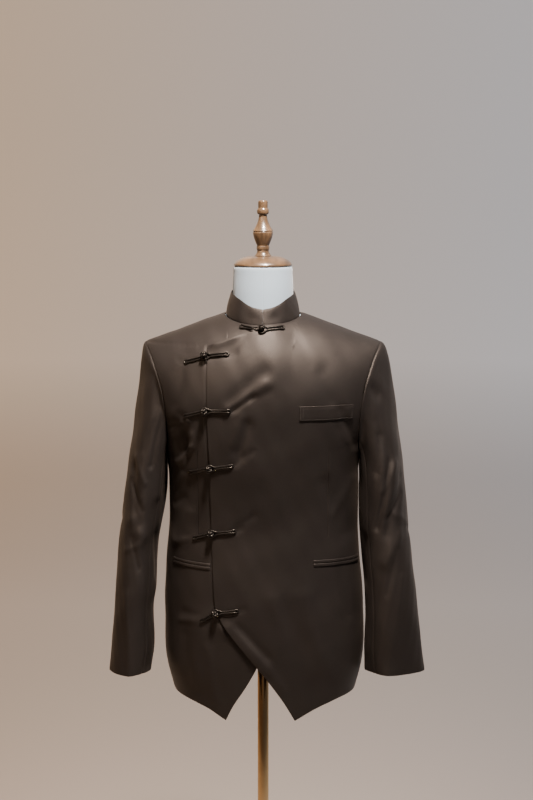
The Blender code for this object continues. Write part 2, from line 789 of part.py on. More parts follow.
def make_sleeves(look):
    half_gap = 0.35
    rows = [-1.0, -0.985] + [-1 + i / 9 for i in range(1, 9)]
    rows += [0.0, 0.22, 0.42, 0.58, 0.72, 0.83, 0.91, 0.96, 0.99, 1.0]
    spans = (
        ("top", FRONT_SLEEVE_SEAM - half_gap, BACK_SLEEVE_SEAM + half_gap, 11),
        ("under", BACK_SLEEVE_SEAM - half_gap, FRONT_SLEEVE_SEAM - 360 + half_gap, 5),
    )
    for side, sign, rings, folds in (
        ("left", 1, LEFT_RINGS, LEFT_SLEEVE_FOLDS),
        ("right", -1, RIGHT_RINGS, RIGHT_SLEEVE_FOLDS),
    ):
        for piece, start, end, steps in spans:

            def place(turn, v, sign=sign, rings=rings, folds=folds, cap_reach=CAP_REACH[side]):
                around = turn if turn >= -180 else turn + 360
                point = sleeve(rings, folds, cap_reach, around, v)
                return Vector((sign * point.x, point.y, point.z))

            margin = math.copysign(3.0, end - start)
            inner = [start + (end - start) * i / steps for i in range(1, steps)]
            columns = [start, start + margin] + inner + [end - margin, end]
            sheet(f"sleeve_{piece}_{side}", columns, rows, place, look, flip=sign < 0)


def make_welt(look):
    x0, x1, z0, z1 = WELT
    lift = WELT_THICKNESS + TRIM_CLEARANCE
    columns = [x0 + (x1 - x0) * i / 6 for i in range(7)]
    rows = [z0, (z0 + z1) / 2, z1]
    sheet("breast_welt", columns, rows, lambda x, z: front(x, z, lift), look, WELT_THICKNESS)


def make_jets(look):
    lift = JET_THICKNESS + TRIM_CLEARANCE
    for pocket in HIP_POCKETS:
        steps = 8
        shares = [i / steps for i in range(steps + 1)]
        for name, level in (("upper", JET_SPACING / 2), ("lower", -JET_SPACING / 2)):

            def place(share, rise, pocket=pocket, level=level):
                start = turn_at(pocket.x0, pocket.z0)
                end = turn_at(pocket.x1, pocket.z1)
                z = pocket.z0 + (pocket.z1 - pocket.z0) * share + level + rise
                return body(start + (end - start) * share, z, -1, lift)

            rows = [-JET_WIDTH / 2, JET_WIDTH / 2]
            sheet(f"hip_jet_{name}_{pocket.name}", shares, rows, place, look, JET_THICKNESS)


def strap_route(start, end, first):
    """A hairpin from near the knot to a strap's outer end and back, as x and z."""
    run = end - start
    length = run.length
    ahead = run.normalized()
    aside = Vector((-ahead.y, ahead.x))
    steps = 3
    stations = [first + (length - CORD_HALF_PITCH - first) * i / steps for i in range(steps + 1)]
    out = [(station, CORD_HALF_PITCH) for station in stations]
    turn_steps = 4
    for i in range(1, turn_steps):
        angle = math.pi * i / turn_steps
        out.append((stations[-1] + CORD_HALF_PITCH * math.sin(angle), CORD_HALF_PITCH * math.cos(angle)))
    out += [(station, -CORD_HALF_PITCH) for station in reversed(stations)]
    return [start + ahead * station + aside * offset for station, offset in out]


def make_frogs(look):
    for frog in FROGS:
        knot = Vector((frog.knot_x, frog.knot_z))
        ends = (
            ("button", Vector((frog.button_x, frog.button_z)), BUTTON_STRAP_START),
            ("loop", Vector((frog.loop_x, frog.loop_z)), LOOP_STRAP_START),
        )
        for name, end, first in ends:
            points = []
            for x, z in strap_route(knot, end, first):
                away = (Vector((x, z)) - knot).length - first
                rise = STRAP_END_RISE * max(1 - away / STRAP_RISE_LENGTH, 0.0)
                lift = CORD_RADIUS + CORD_CLEARANCE + max(overlap_lift(x) * cover(x, z), rise)
                points.append(front(x, z, lift))
            cord(f"frog_{frog.name}_{name}_strap", points, look)
        make_knot(f"frog_{frog.name}_knot", front(knot.x, knot.y, KNOT_LIFT), look)


def make_knot(name, place, look):
    bm = bmesh.new()
    bmesh.ops.create_uvsphere(bm, u_segments=12, v_segments=8, radius=KNOT_RADIUS)
    mesh = bpy.data.meshes.new(name)
    bm.to_mesh(mesh)
    bm.free()
    mesh.shade_smooth()
    add(name, mesh, look).location = place


def form_half_width(z):
    limit = (SHOULDER_PEAK - FORM_SHOULDER_DROP - z) / SHOULDER_SLOPE
    shoulder = math.sqrt(max(limit * limit - SHOULDER_EASE**2, 0.0))
    return min(read(FORM, z, "half_width"), shoulder)


def form_point(around, z):
    """A point of the form at a share round it, from the left side through the back."""
    angle = 2 * math.pi * around
    side = 1 if math.sin(angle) >= 0 else -1
    share = math.copysign(abs(math.cos(angle)) ** 0.8, math.cos(angle))
    x = form_half_width(z) * share
    inset = read(FORM, z, "inset")
    width = read(BODY, z, "half_width") - inset
    depth = read(BODY, z, "front" if side < 0 else "back") - inset
    full_drop = FRONT_SHOULDER_DROP if side < 0 else BACK_SHOULDER_DROP
    round_side = max(1 - abs(x / width) ** BODY_ROUNDNESS, 0.0) ** (1 / BODY_ROUNDNESS)
    rounding = shoulder_rounding(shoulder_height(x) - FORM_SHOULDER_DROP - z, full_drop)
    square = (1 - abs(share) ** FORM_SQUARENESS) ** (1 / FORM_SQUARENESS)
    return Vector((x, SHOULDER_Y + side * depth * round_side * rounding * square, z))


def make_form(look):
    """The torso: a grid bent round, its seam welded and its flat top and bottom filled."""
    around = 28
    heights = [FORM_BOTTOM + 0.045 * i for i in range(12)]
    heights += [1.330, 1.352, 1.370, 1.384, 1.396, 1.408, 1.419, 1.430, FORM_TOP]
    bm = bmesh.new()
    bmesh.ops.create_grid(bm, x_segments=around, y_segments=len(heights) - 1, size=0.5)
    for vertex in bm.verts:
        row = round((vertex.co.y + 0.5) * (len(heights) - 1))
        vertex.co = form_point(vertex.co.x + 0.5, heights[row])
    bmesh.ops.remove_doubles(bm, verts=bm.verts, dist=1e-6)
    bmesh.ops.holes_fill(bm, edges=bm.edges, sides=0)
    bmesh.ops.recalc_face_normals(bm, faces=bm.faces)
    mesh = bpy.data.meshes.new("form_torso")
    bm.to_mesh(mesh)
    bm.free()
    mesh.shade_smooth()
    mesh.set_sharp_from_angle(angle=math.radians(50))
    add("form_torso", mesh, look)


def make_pole(look):
    bottom = BASE[0].z + SEAT
    top = FORM_BOTTOM - SEAT
    bm = bmesh.new()
    bmesh.ops.create_cone(
        bm,
        cap_ends=True,
        segments=24,
        radius1=POLE_RADIUS,
        radius2=POLE_RADIUS,
        depth=top - bottom,
    )
    mesh = bpy.data.meshes.new("pole")
    bm.to_mesh(mesh)
    bm.free()
    mesh.shade_smooth()
    mesh.set_sharp_from_angle(angle=math.radians(50))
    add("pole", mesh, look).location.z = (top + bottom) / 2


SHOULDER_TIP_Z = shoulder_height(SHOULDER_TIP_X)


def main():
    clear_scene()
    collection = bpy.data.collections.new(NAME)
    bpy.context.scene.collection.children.link(collection)
    cloth = material("charcoal_worsted", (0.030, 0.026, 0.024), 0.62)
    satin = material("black_satin_cord", (0.012, 0.010, 0.010), 0.35)
    jersey = material("white_jersey", (0.56, 0.62, 0.68), 0.80)
    wood = material("turned_wood", (0.40, 0.23, 0.11), 0.35)
    brass = material("polished_brass", (0.62, 0.42, 0.20), 0.20, 1.0)

    make_front_over(cloth)
    make_front_under(cloth)
    make_back(cloth)
    make_collars(cloth)
    make_sleeves(cloth)
    make_welt(cloth)
    make_jets(cloth)
    make_frogs(satin)
    make_form(jersey)
    turned("neck_block", NECK_BLOCK, jersey)
    turned("neck_cap", CAP, wood)
    turned("finial", FINIAL, wood, 16)
    turned("form_socket", SOCKET, brass)
    make_pole(brass)
    turned("pole_foot", FOOT, brass)
    turned("base", BASE, brass, 36)


main()
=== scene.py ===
"""A mandarin collar jacket with an asymmetric front and six frog closures, on a limbless dress form.

Metres, +Z up. The front faces -Y and +X is the wearer's left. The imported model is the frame, and each
operator makes one piece of the jacket or of the form over it, with its own finish.
"""

import math
from collections import namedtuple

import bpy
import numpy as np
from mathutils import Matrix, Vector


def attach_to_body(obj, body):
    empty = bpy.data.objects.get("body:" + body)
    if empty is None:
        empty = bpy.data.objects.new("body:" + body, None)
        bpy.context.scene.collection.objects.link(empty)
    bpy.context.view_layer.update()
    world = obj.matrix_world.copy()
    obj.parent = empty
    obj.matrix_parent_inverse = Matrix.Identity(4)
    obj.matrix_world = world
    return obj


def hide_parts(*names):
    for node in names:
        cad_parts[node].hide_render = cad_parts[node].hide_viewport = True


bl_info = {
    "name": "Mandarin collar jacket on a dress form",
    "version": (1, 0, 0),
    "blender": (4, 5, 0),
    "location": "View3D > Sidebar > Jacket",
    "description": "Makes the cloth, cords and turned pieces of a jacket on its dress form",
    "category": "Object",
}

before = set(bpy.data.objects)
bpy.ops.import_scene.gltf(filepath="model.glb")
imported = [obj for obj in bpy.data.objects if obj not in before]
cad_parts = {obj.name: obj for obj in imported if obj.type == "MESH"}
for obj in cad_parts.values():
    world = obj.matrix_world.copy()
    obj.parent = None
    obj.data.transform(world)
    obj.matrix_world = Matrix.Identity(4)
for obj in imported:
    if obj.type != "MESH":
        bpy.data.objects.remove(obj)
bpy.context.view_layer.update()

# Body of the jacket: half width, front depth, back depth and how far it sways at each height
Girth = namedtuple("Girth", "z half_width front back sway")
BODY = (
    Girth(0.640, 0.170, 0.112, 0.108, 0.0035),
    Girth(0.700, 0.1795, 0.116, 0.113, 0.0035),
    Girth(0.757, 0.1935, 0.119, 0.117, 0.003),
    Girth(0.810, 0.1955, 0.120, 0.119, 0.003),
    Girth(0.906, 0.1935, 0.119, 0.120, 0.001),
    Girth(0.976, 0.1880, 0.116, 0.117, 0.000),
    Girth(1.033, 0.1843, 0.114, 0.115, 0.0018),
    Girth(1.097, 0.1843, 0.119, 0.118, 0.0018),
    Girth(1.150, 0.186, 0.126, 0.123, 0.000),
    Girth(1.210, 0.200, 0.131, 0.127, 0.000),
    Girth(1.265, 0.217, 0.133, 0.128, 0.000),
    Girth(1.320, 0.236, 0.132, 0.127, 0.000),
    Girth(1.380, 0.250, 0.131, 0.125, 0.000),
    Girth(1.470, 0.256, 0.130, 0.125, 0.000),
)
BODY_ROUNDNESS = 2.4
SHOULDER_Y = 0.005
SHOULDER_PEAK = 1.4660
SHOULDER_SLOPE = 0.3738
SHOULDER_EASE = 0.025
FRONT_SHOULDER_DROP = 0.16
BACK_SHOULDER_DROP = 0.10
OVERLAP_LIFT = 0.0031
OVERLAP_FULL = 0.018
OVERLAP_EASE = 0.042
UNDER_INSET = 0.0008
SEAM_HALF_GAP = 0.0001

# Landmarks on the front view, x then z
SHOULDER_TIP_X = 0.2256
NECK_SIDE_X = 0.073
NECK_SIDE_Z = 1.435
NECK_FRONT_Z = 1.418
NECK_BACK_Z = 1.442
ARMPIT_Z = 1.155
SIDE_HEM_Z = 0.700
BACK_HEM_Z = 0.695

# Armhole seam from the armpit to the shoulder tip
Seam = namedtuple("Seam", "z x")
ARMHOLE = (
    Seam(1.155, 0.1868),
    Seam(1.158, 0.1862),
    Seam(1.168, 0.1842),
    Seam(1.185, 0.1828),
    Seam(1.209, 0.1824),
    Seam(1.235, 0.1835),
    Seam(1.265, 0.1865),
    Seam(1.300, 0.1930),
    Seam(1.325, 0.2010),
    Seam(1.355, 0.2125),
    Seam(1.370, 0.2205),
    Seam(1.3785, 0.2256),
)

# Free edge of the front that lies on top, from its tip to the corner at the upper chest
Edge = namedtuple("Edge", "z x")
OVER_EDGE = (
    Edge(0.658, 0.061),
    Edge(0.694, 0.0405),
    Edge(0.727, 0.0185),
    Edge(0.768, -0.0125),
    Edge(0.822, -0.0555),
    Edge(0.858, -0.080),
    Edge(0.880, -0.0895),
    Edge(0.910, -0.0930),
    Edge(1.010, -0.0962),
    Edge(1.090, -0.0980),
    Edge(1.140, -0.0982),
    Edge(1.175, -0.1000),
    Edge(1.230, -0.1030),
    Edge(1.300, -0.1036),
    Edge(1.3788, -0.1028),
)

# Its slanting edge from that corner up to the centre front
Slant = namedtuple("Slant", "x z")
OVER_DIAGONAL = (
    Slant(-0.1028, 1.3788),
    Slant(-0.0910, 1.3805),
    Slant(-0.0670, 1.3880),
    Slant(-0.0310, 1.4028),
    Slant(-0.0120, 1.4080),
    Slant(-0.0030, 1.4182),
)

# Free edge of the front that lies beneath, mirrored so that its own side is +X
UNDER_EDGE = (
    Edge(0.658, 0.0716),
    Edge(0.688, 0.0570),
    Edge(0.728, 0.0318),
    Edge(0.768, 0.0105),
    Edge(0.810, -0.0030),
    Edge(0.850, -0.0060),
    Edge(1.200, -0.0060),
    Edge(1.418, -0.0060),
)
OVER_HEM = ((0.061, 0.658), (0.101, 0.679), (0.150, 0.695))
UNDER_HEM = ((0.0716, 0.658), (0.109, 0.680), (0.150, 0.693))

# Folds on the front and back: the two ends of each, its width, and how far it stands out
Fold = namedtuple("Fold", "x0 z0 x1 z1 width height")
FRONT_FOLDS = (
    Fold(-0.160, 1.222, -0.150, 1.178, 0.014, -0.0065),
    Fold(-0.060, 1.268, 0.004, 1.312, 0.012, 0.0035),
    Fold(-0.058, 1.280, 0.002, 1.334, 0.014, -0.0025),
    Fold(-0.046, 1.185, -0.026, 1.232, 0.013, -0.0030),
    Fold(-0.142, 1.060, -0.160, 1.005, 0.013, 0.0035),
    Fold(-0.070, 0.842, 0.002, 0.762, 0.012, 0.0035),
    Fold(0.120, 1.120, 0.160, 1.020, 0.016, -0.0035),
    Fold(0.080, 0.900, 0.120, 0.760, 0.022, 0.0035),
    Fold(-0.120, 0.860, -0.130, 0.740, 0.020, 0.0035),
    Fold(0.110, 1.330, 0.150, 1.230, 0.016, -0.0030),
)
BACK_FOLDS = (
    Fold(-0.110, 1.090, -0.030, 1.040, 0.015, -0.0040),
    Fold(0.115, 1.075, 0.040, 1.030, 0.015, -0.0040),
    Fold(-0.130, 1.240, -0.100, 1.130, 0.016, 0.0035),
    Fold(0.130, 1.250, 0.105, 1.140, 0.016, 0.0035),
    Fold(-0.070, 0.930, -0.085, 0.760, 0.024, 0.0040),
    Fold(0.060, 0.940, 0.075, 0.750, 0.024, 0.0040),
)

# Finer creases that only the cloth shows: drag lines to the frogs, the hollow by the armpit, the hem
FRONT_CREASES = (
    Fold(-0.057, 1.262, -0.018, 1.290, 0.0045, -0.0036),
    Fold(-0.022, 1.284, 0.010, 1.300, 0.0080, -0.0016),
    Fold(-0.040, 1.253, -0.052, 1.200, 0.0090, 0.0016),
    Fold(-0.030, 1.240, -0.046, 1.172, 0.0080, -0.0022),
    Fold(-0.055, 1.161, -0.020, 1.186, 0.0060, -0.0016),
    Fold(-0.050, 1.036, -0.016, 1.062, 0.0065, -0.0014),
    Fold(-0.175, 1.216, -0.140, 1.243, 0.0055, 0.0036),
    Fold(-0.134, 1.215, -0.136, 1.192, 0.0060, 0.0026),
    Fold(-0.136, 1.190, -0.163, 1.156, 0.0050, 0.0040),
    Fold(-0.164, 1.204, -0.152, 1.184, 0.0090, -0.0030),
    Fold(-0.142, 1.142, -0.170, 1.110, 0.0080, 0.0016),
    Fold(-0.150, 1.090, -0.168, 1.075, 0.0060, -0.0014),
    Fold(-0.134, 1.014, -0.166, 1.000, 0.0060, 0.0018),
    Fold(-0.120, 0.856, -0.158, 0.850, 0.0060, 0.0020),
    Fold(-0.122, 0.866, -0.150, 0.866, 0.0070, -0.0014),
    Fold(-0.060, 0.848, -0.006, 0.786, 0.0060, 0.0014),
    Fold(-0.046, 0.846, 0.010, 0.786, 0.0080, -0.0020),
    Fold(0.005, 0.775, 0.040, 0.720, 0.0080, 0.0014),
    Fold(0.062, 1.400, 0.090, 1.350, 0.0110, -0.0012),
    Fold(0.148, 1.260, 0.176, 1.190, 0.0090, -0.0024),
    Fold(0.132, 1.268, 0.160, 1.200, 0.0080, 0.0014),
    Fold(0.170, 1.120, 0.135, 1.060, 0.0090, 0.0018),
    Fold(0.150, 0.960, 0.165, 0.860, 0.0120, -0.0018),
    Fold(0.020, 0.900, 0.050, 0.780, 0.0140, 0.0014),
    Fold(-0.105, 0.800, -0.092, 0.700, 0.0100, 0.0020),
    Fold(-0.150, 0.820, -0.142, 0.730, 0.0110, -0.0018),
    Fold(-0.150, 1.330, -0.165, 1.270, 0.0100, -0.0016),
)
BACK_CREASES = (
    Fold(-0.150, 1.210, -0.128, 1.150, 0.0080, -0.0024),
    Fold(0.152, 1.215, 0.130, 1.150, 0.0080, -0.0024),
    Fold(-0.160, 1.110, -0.110, 1.072, 0.0080, 0.0016),
    Fold(0.160, 1.105, 0.112, 1.066, 0.0080, 0.0016),
    Fold(-0.080, 1.062, 0.010, 1.030, 0.0080, 0.0018),
    Fold(0.080, 1.044, 0.000, 1.018, 0.0080, 0.0018),
    Fold(-0.030, 1.410, 0.030, 1.410, 0.0090, -0.0014),
    Fold(0.000, 0.900, 0.004, 0.760, 0.0160, -0.0018),
    Fold(-0.130, 0.880, -0.125, 0.760, 0.0140, -0.0016),
    Fold(0.120, 0.880, 0.128, 0.760, 0.0140, -0.0016),
)

# Sleeves: height, centre, half width, half depth, roundness and how far the front crease leans
Ring = namedtuple("Ring", "z x y half_width half_depth roundness lean")
LEFT_RINGS = (
    Ring(0.737, 0.2585, -0.030, 0.0590, 0.045, 1.45, -0.0150),
    Ring(0.775, 0.2550, -0.027, 0.0570, 0.047, 1.60, -0.0120),
    Ring(0.815, 0.2530, -0.025, 0.0540, 0.050, 1.75, -0.0080),
    Ring(0.880, 0.2500, -0.020, 0.0505, 0.055, 1.90, -0.0030),
    Ring(0.955, 0.2430, -0.012, 0.0490, 0.060, 2.00, 0.0000),
    Ring(1.030, 0.2355, -0.004, 0.0480, 0.066, 2.00, 0.0000),
    Ring(1.100, 0.2315, 0.000, 0.0450, 0.071, 2.00, 0.0000),
    Ring(1.140, 0.2295, 0.002, 0.0430, 0.074, 2.00, 0.0000),
)
RIGHT_RINGS = (
    Ring(0.737, 0.2605, -0.030, 0.0410, 0.048, 1.45, 0.0000),
    Ring(0.790, 0.2550, -0.027, 0.0418, 0.051, 1.70, 0.0000),
    Ring(0.865, 0.2525, -0.021, 0.0380, 0.057, 1.90, 0.0000),
    Ring(0.905, 0.2480, -0.018, 0.0393, 0.060, 2.00, 0.0000),
    Ring(0.990, 0.2430, -0.008, 0.0385, 0.066, 2.00, 0.0000),
    Ring(1.030, 0.2370, -0.004, 0.0400, 0.069, 2.00, 0.0000),
    Ring(1.100, 0.2275, 0.000, 0.0410, 0.073, 2.00, 0.0000),
    Ring(1.140, 0.2240, 0.002, 0.0385, 0.075, 2.00, 0.0000),
)
BICEPS_Z = 1.100
CUFF_Z = 0.737
CAP_REACH = {"left": 0.060, "right": 0.022}
LONG_CAP_REACH = 5.0
SHORT_CAP_DROP = 0.15
SLEEVE_CLEARANCE = 0.0004
SLEEVE_HEAD_EASE = 0.0016
SLEEVE_HEAD_WIDTH = 0.009
FRONT_SLEEVE_SEAM = 135.0
BACK_SLEEVE_SEAM = -110.0
FOLD_FADE = 0.20

# Folds of a sleeve: degrees from its outer side towards the front, height, width and height out
METRES_PER_DEGREE = 0.001
SleeveFold = namedtuple("SleeveFold", "turn0 z0 turn1 z1 width height")
LEFT_SLEEVE_FOLDS = (
    SleeveFold(75, 1.318, 60, 1.285, 0.012, -0.0045),
    SleeveFold(0, 1.320, 0, 1.230, 0.050, -0.0028),
    SleeveFold(68, 1.157, 112, 1.027, 0.006, -0.0035),
    SleeveFold(55, 1.150, 98, 1.020, 0.009, 0.0025),
    SleeveFold(81, 1.206, 106, 1.137, 0.010, -0.0025),
    SleeveFold(112, 1.322, 96, 1.318, 0.006, -0.0030),
    SleeveFold(35, 1.120, 95, 1.020, 0.012, -0.0040),
    SleeveFold(60, 1.010, 100, 0.960, 0.014, 0.0035),
    SleeveFold(-60, 1.060, -95, 0.990, 0.014, -0.0035),
    SleeveFold(150, 1.000, 170, 0.920, 0.012, -0.0030),
)
RIGHT_SLEEVE_FOLDS = (
    SleeveFold(60, 1.325, 85, 1.265, 0.014, -0.0045),
    SleeveFold(50, 1.145, 85, 1.035, 0.012, -0.0040),
    SleeveFold(70, 1.045, 105, 1.010, 0.014, 0.0035),
    SleeveFold(-60, 1.070, -95, 1.000, 0.014, -0.0035),
    SleeveFold(150, 1.010, 170, 0.930, 0.012, -0.0030),
    SleeveFold(0, 1.300, 0, 1.210, 0.050, -0.0030),
    SleeveFold(96, 1.300, 100, 1.150, 0.007, -0.0030),
    SleeveFold(112, 1.285, 118, 1.260, 0.011, -0.0050),
    SleeveFold(128, 1.300, 130, 1.090, 0.012, 0.0030),
)
LEFT_SLEEVE_CREASES = (
    SleeveFold(50, 1.155, 92, 1.100, 0.0060, 0.0018),
    SleeveFold(40, 1.092, 88, 1.045, 0.0050, -0.0020),
    SleeveFold(30, 1.035, 75, 1.060, 0.0070, 0.0014),
    SleeveFold(70, 0.985, 100, 0.900, 0.0070, -0.0018),
    SleeveFold(62, 0.930, 84, 0.790, 0.0080, 0.0016),
    SleeveFold(20, 1.020, -25, 0.985, 0.0080, -0.0016),
    SleeveFold(-40, 1.130, -80, 1.080, 0.0070, -0.0018),
    SleeveFold(-50, 1.020, -90, 1.030, 0.0060, 0.0018),
    SleeveFold(-30, 0.980, -85, 0.940, 0.0080, -0.0018),
    SleeveFold(-60, 0.900, -80, 0.800, 0.0090, 0.0014),
    SleeveFold(80, 1.235, 65, 1.170, 0.0080, -0.0016),
)
RIGHT_SLEEVE_CREASES = (
    SleeveFold(52, 1.165, 90, 1.115, 0.0060, 0.0018),
    SleeveFold(45, 1.118, 92, 1.062, 0.0050, -0.0020),
    SleeveFold(72, 1.010, 100, 0.950, 0.0060, -0.0018),
    SleeveFold(60, 0.985, 96, 0.995, 0.0070, 0.0016),
    SleeveFold(70, 0.900, 84, 0.770, 0.0080, 0.0016),
    SleeveFold(20, 1.050, -25, 1.010, 0.0080, -0.0016),
    SleeveFold(-40, 1.140, -80, 1.090, 0.0070, -0.0018),
    SleeveFold(-50, 1.030, -90, 1.045, 0.0060, 0.0018),
    SleeveFold(-30, 0.990, -85, 0.950, 0.0080, -0.0018),
    SleeveFold(-60, 0.890, -80, 0.800, 0.0090, 0.0014),
    SleeveFold(84, 1.245, 70, 1.180, 0.0080, -0.0016),
)

# Stand collar: turn from the centre front, then outer radius across, depth and height of its top
Collar = namedtuple("Collar", "turn x y z")
COLLAR_TOP = (
    Collar(0, 0.0000, -0.0700, 1.4470),
    Collar(20, 0.0225, -0.0670, 1.4525),
    Collar(45, 0.0450, -0.0490, 1.4655),
    Collar(90, 0.0612, 0.0010, 1.4760),
    Collar(135, 0.0440, 0.0500, 1.4830),
    Collar(180, 0.0000, 0.0670, 1.4840),
)
COLLAR_CLEARANCE = -0.0024
COLLAR_INSET = 0.0019
COLLAR_HALF_GAP = 0.0001

# Pockets, x and z of their ends on the front view
WELT = (0.0675, 0.1690, 1.2430, 1.2710)
WELT_THICKNESS = 0.0018
Jet = namedtuple("Jet", "name x0 x1 z0 z1")
HIP_POCKETS = (Jet("left", 0.096, 0.1835, 0.9670, 0.9640), Jet("right", -0.172, -0.1005, 0.9645, 0.9600))
JET_WIDTH = 0.0060
JET_SPACING = 0.0066
JET_THICKNESS = 0.0015
TRIM_CLEARANCE = 0.0002

# Frog closures: the knot, the outer end of the button strap and the outer end of the loop strap
Frog = namedtuple("Frog", "name knot_x knot_z button_x button_z loop_x loop_z")
FROGS = (
    Frog("1", -0.0020, 1.4085, -0.0430, 1.4155, 0.0396, 1.4130),
    Frog("2", -0.1072, 1.3600, -0.1470, 1.3490, -0.0628, 1.3660),
    Frog("3", -0.1070, 1.2615, -0.1470, 1.2500, -0.0601, 1.2630),
    Frog("4", -0.0985, 1.1520, -0.1402, 1.1400, -0.0553, 1.1585),
    Frog("5", -0.0962, 1.0245, -0.1318, 1.0125, -0.0510, 1.0310),
    Frog("6", -0.0892, 0.8725, -0.1165, 0.8545, -0.0467, 0.8780),
)
CORD_HALF_PITCH = 0.00182
END_HALF_WIDTH = 0.0030
LOOP_AROUND = 0.0059
KNOT_LIFT = 0.0108
COVER_REACH = 0.0070
COVER_EASE = 0.0045


# Surfaces


def smooth_step(share):
    share = np.clip(share, 0.0, 1.0)
    return share * share * (3 - 2 * share)


def curve_through(keys, values, key):
    """A smooth curve through the values, read at each key."""
    keys, values = np.asarray(keys, float), np.asarray(values, float)
    last = len(keys) - 1
    after = np.minimum(np.arange(last + 1) + 1, last)
    before = np.maximum(np.arange(last + 1) - 1, 0)
    slopes = (values[after] - values[before]) / (keys[after] - keys[before])
    key = np.clip(key, keys[0], keys[-1])
    i = np.clip(np.searchsorted(keys, key, side="right") - 1, 0, last - 1)
    span = keys[i + 1] - keys[i]
    t = (key - keys[i]) / span
    return (
        values[i] * (1 + 2 * t) * (1 - t) ** 2
        + slopes[i] * span * t * (1 - t) ** 2
        + values[i + 1] * t * t * (3 - 2 * t)
        + slopes[i + 1] * span * t * t * (t - 1)
    )


def read(rows, key, column):
    """A column of a table at each key. The table's first column holds the keys."""
    return curve_through([row[0] for row in rows], [getattr(row, column) for row in rows], key)


def along(points, share):
    """Points at shares of a chain of points, by length, as an array with one row each."""
    points = np.asarray(points, float)
    lengths = np.concatenate(([0.0], np.cumsum(np.linalg.norm(np.diff(points, axis=0), axis=1))))
    key = np.asarray(share) * lengths[-1]
    return np.stack([curve_through(lengths, points[:, k], key) for k in range(points.shape[1])], -1)


def unit(vectors):
    return vectors / np.maximum(np.linalg.norm(vectors, axis=-1, keepdims=True), 1e-12)


def shoulder_height(x):
    return SHOULDER_PEAK - SHOULDER_SLOPE * np.hypot(x, SHOULDER_EASE)


SHOULDER_TIP_Z = float(shoulder_height(SHOULDER_TIP_X))


def fold_height(folds, x, z):
    total = np.zeros(np.broadcast(x, z).shape)
    for x0, z0, x1, z1, width, height in folds:
        run_x, run_z = x1 - x0, z1 - z0
        share = np.clip(((x - x0) * run_x + (z - z0) * run_z) / (run_x**2 + run_z**2), 0.0, 1.0)
        distance = np.hypot(x - x0 - run_x * share, z - z0 - run_z * share)
        total += height * np.exp(-((distance / width) ** 2))
    return total


def waviness(across, up, seed):
    """A faint unevenness that all worn cloth has."""
    return (
        0.00040 * np.sin(across * 61 + up * 23 + seed)
        + 0.00030 * np.sin(across * 37 - up * 71 + 2.1 * seed)
        + 0.00018 * np.sin(across * 149 + up * 83 + 0.7 * seed)
    )


def frog_puckers():
    """The short hollow that each sewn end of a frog draws into the cloth."""
    puckers = []
    for frog in FROGS[1:]:
        for x, z, away in ((frog.button_x, frog.button_z, -1), (frog.loop_x, frog.loop_z, 1)):
            puckers.append(Fold(x, z, x + away * 0.012, z + 0.003, 0.0048, -0.0012))
    return tuple(puckers)


def relief(x, z, side):
    """How far the folds stand out of the body's plain shape."""
    if side < 0:
        folds = fold_height(FRONT_FOLDS, x, z)
        strength = bpy.context.scene.jacket.crease_strength
        folds += strength * fold_height(FRONT_CREASES + frog_puckers(), x, z)
    else:
        folds = fold_height(BACK_FOLDS, x, z)
        folds += bpy.context.scene.jacket.crease_strength * fold_height(BACK_CREASES, x, z)
    return folds + waviness(x, z, 1.0)


def bare_body(turn, z, side):
    """A point of the body at a turn in radians from the centre front (side -1) or back (side 1)."""
    x = read(BODY, z, "sway") + read(BODY, z, "half_width") * np.sin(turn)
    depth = read(BODY, z, "front" if side < 0 else "back")
    full_drop = FRONT_SHOULDER_DROP if side < 0 else BACK_SHOULDER_DROP
    round_side = np.maximum(1 - np.abs(np.sin(turn)) ** BODY_ROUNDNESS, 0.0) ** (1 / BODY_ROUNDNESS)
    fallen = np.clip((shoulder_height(x) - z) / full_drop, 0.0, 1.0)
    rounding = np.sqrt(1 - (1 - fallen) ** 2)
    return np.stack(np.broadcast_arrays(x, SHOULDER_Y + side * depth * round_side * rounding, z), -1)


def body_normal(turn, z, side):
    step = 0.002
    x = bare_body(turn, z, side)[..., 0]
    z = np.minimum(z, shoulder_height(x) - 2 * step)
    turn = np.clip(turn, -math.pi / 2 + 2 * step, math.pi / 2 - 2 * step)
    sideways = bare_body(turn + step, z, side) - bare_body(turn - step, z, side)
    up = bare_body(turn, z + step, side) - bare_body(turn, z - step, side)
    return unit(np.cross(sideways, up)) * -side


def body(turn, z, side, lift=0.0, covered=0.0):
    """The jacket's outer face with its folds, moved out by lift. A covered place keeps only its hollows."""
    turn, z = np.broadcast_arrays(np.asarray(turn, float), np.asarray(z, float))
    point = bare_body(turn, z, side)
    folds = relief(point[..., 0], z, side)
    out = lift + folds - covered * np.maximum(folds, 0.0)
    point = point + body_normal(turn, z, side) * out[..., None]
    point[..., 1] += side * SEAM_HALF_GAP
    return point


def turn_at(x, z):
    share = (x - read(BODY, z, "sway")) / read(BODY, z, "half_width")
    return np.arcsin(np.clip(share, -1.0, 1.0))


def front(x, z, lift=0.0):
    """A point of the front, given as x and z on the front view."""
    return body(turn_at(x, z), z, -1, lift)


def overlap_lift(x):
    """How far the top front stands out over the front beneath, easing to nothing past its edge."""
    return OVERLAP_LIFT * (1 - smooth_step((x - OVERLAP_FULL) / OVERLAP_EASE))


def cover(x, z):
    """1 on the front that lies on top, easing to 0 just outside its edge."""
    beside = x - read(OVER_EDGE, z, "x")
    below = read(OVER_DIAGONAL, x, "z") - z
    inside = np.where(z < OVER_EDGE[-1].z, beside, below)
    return smooth_step((inside + COVER_REACH) / COVER_EASE)


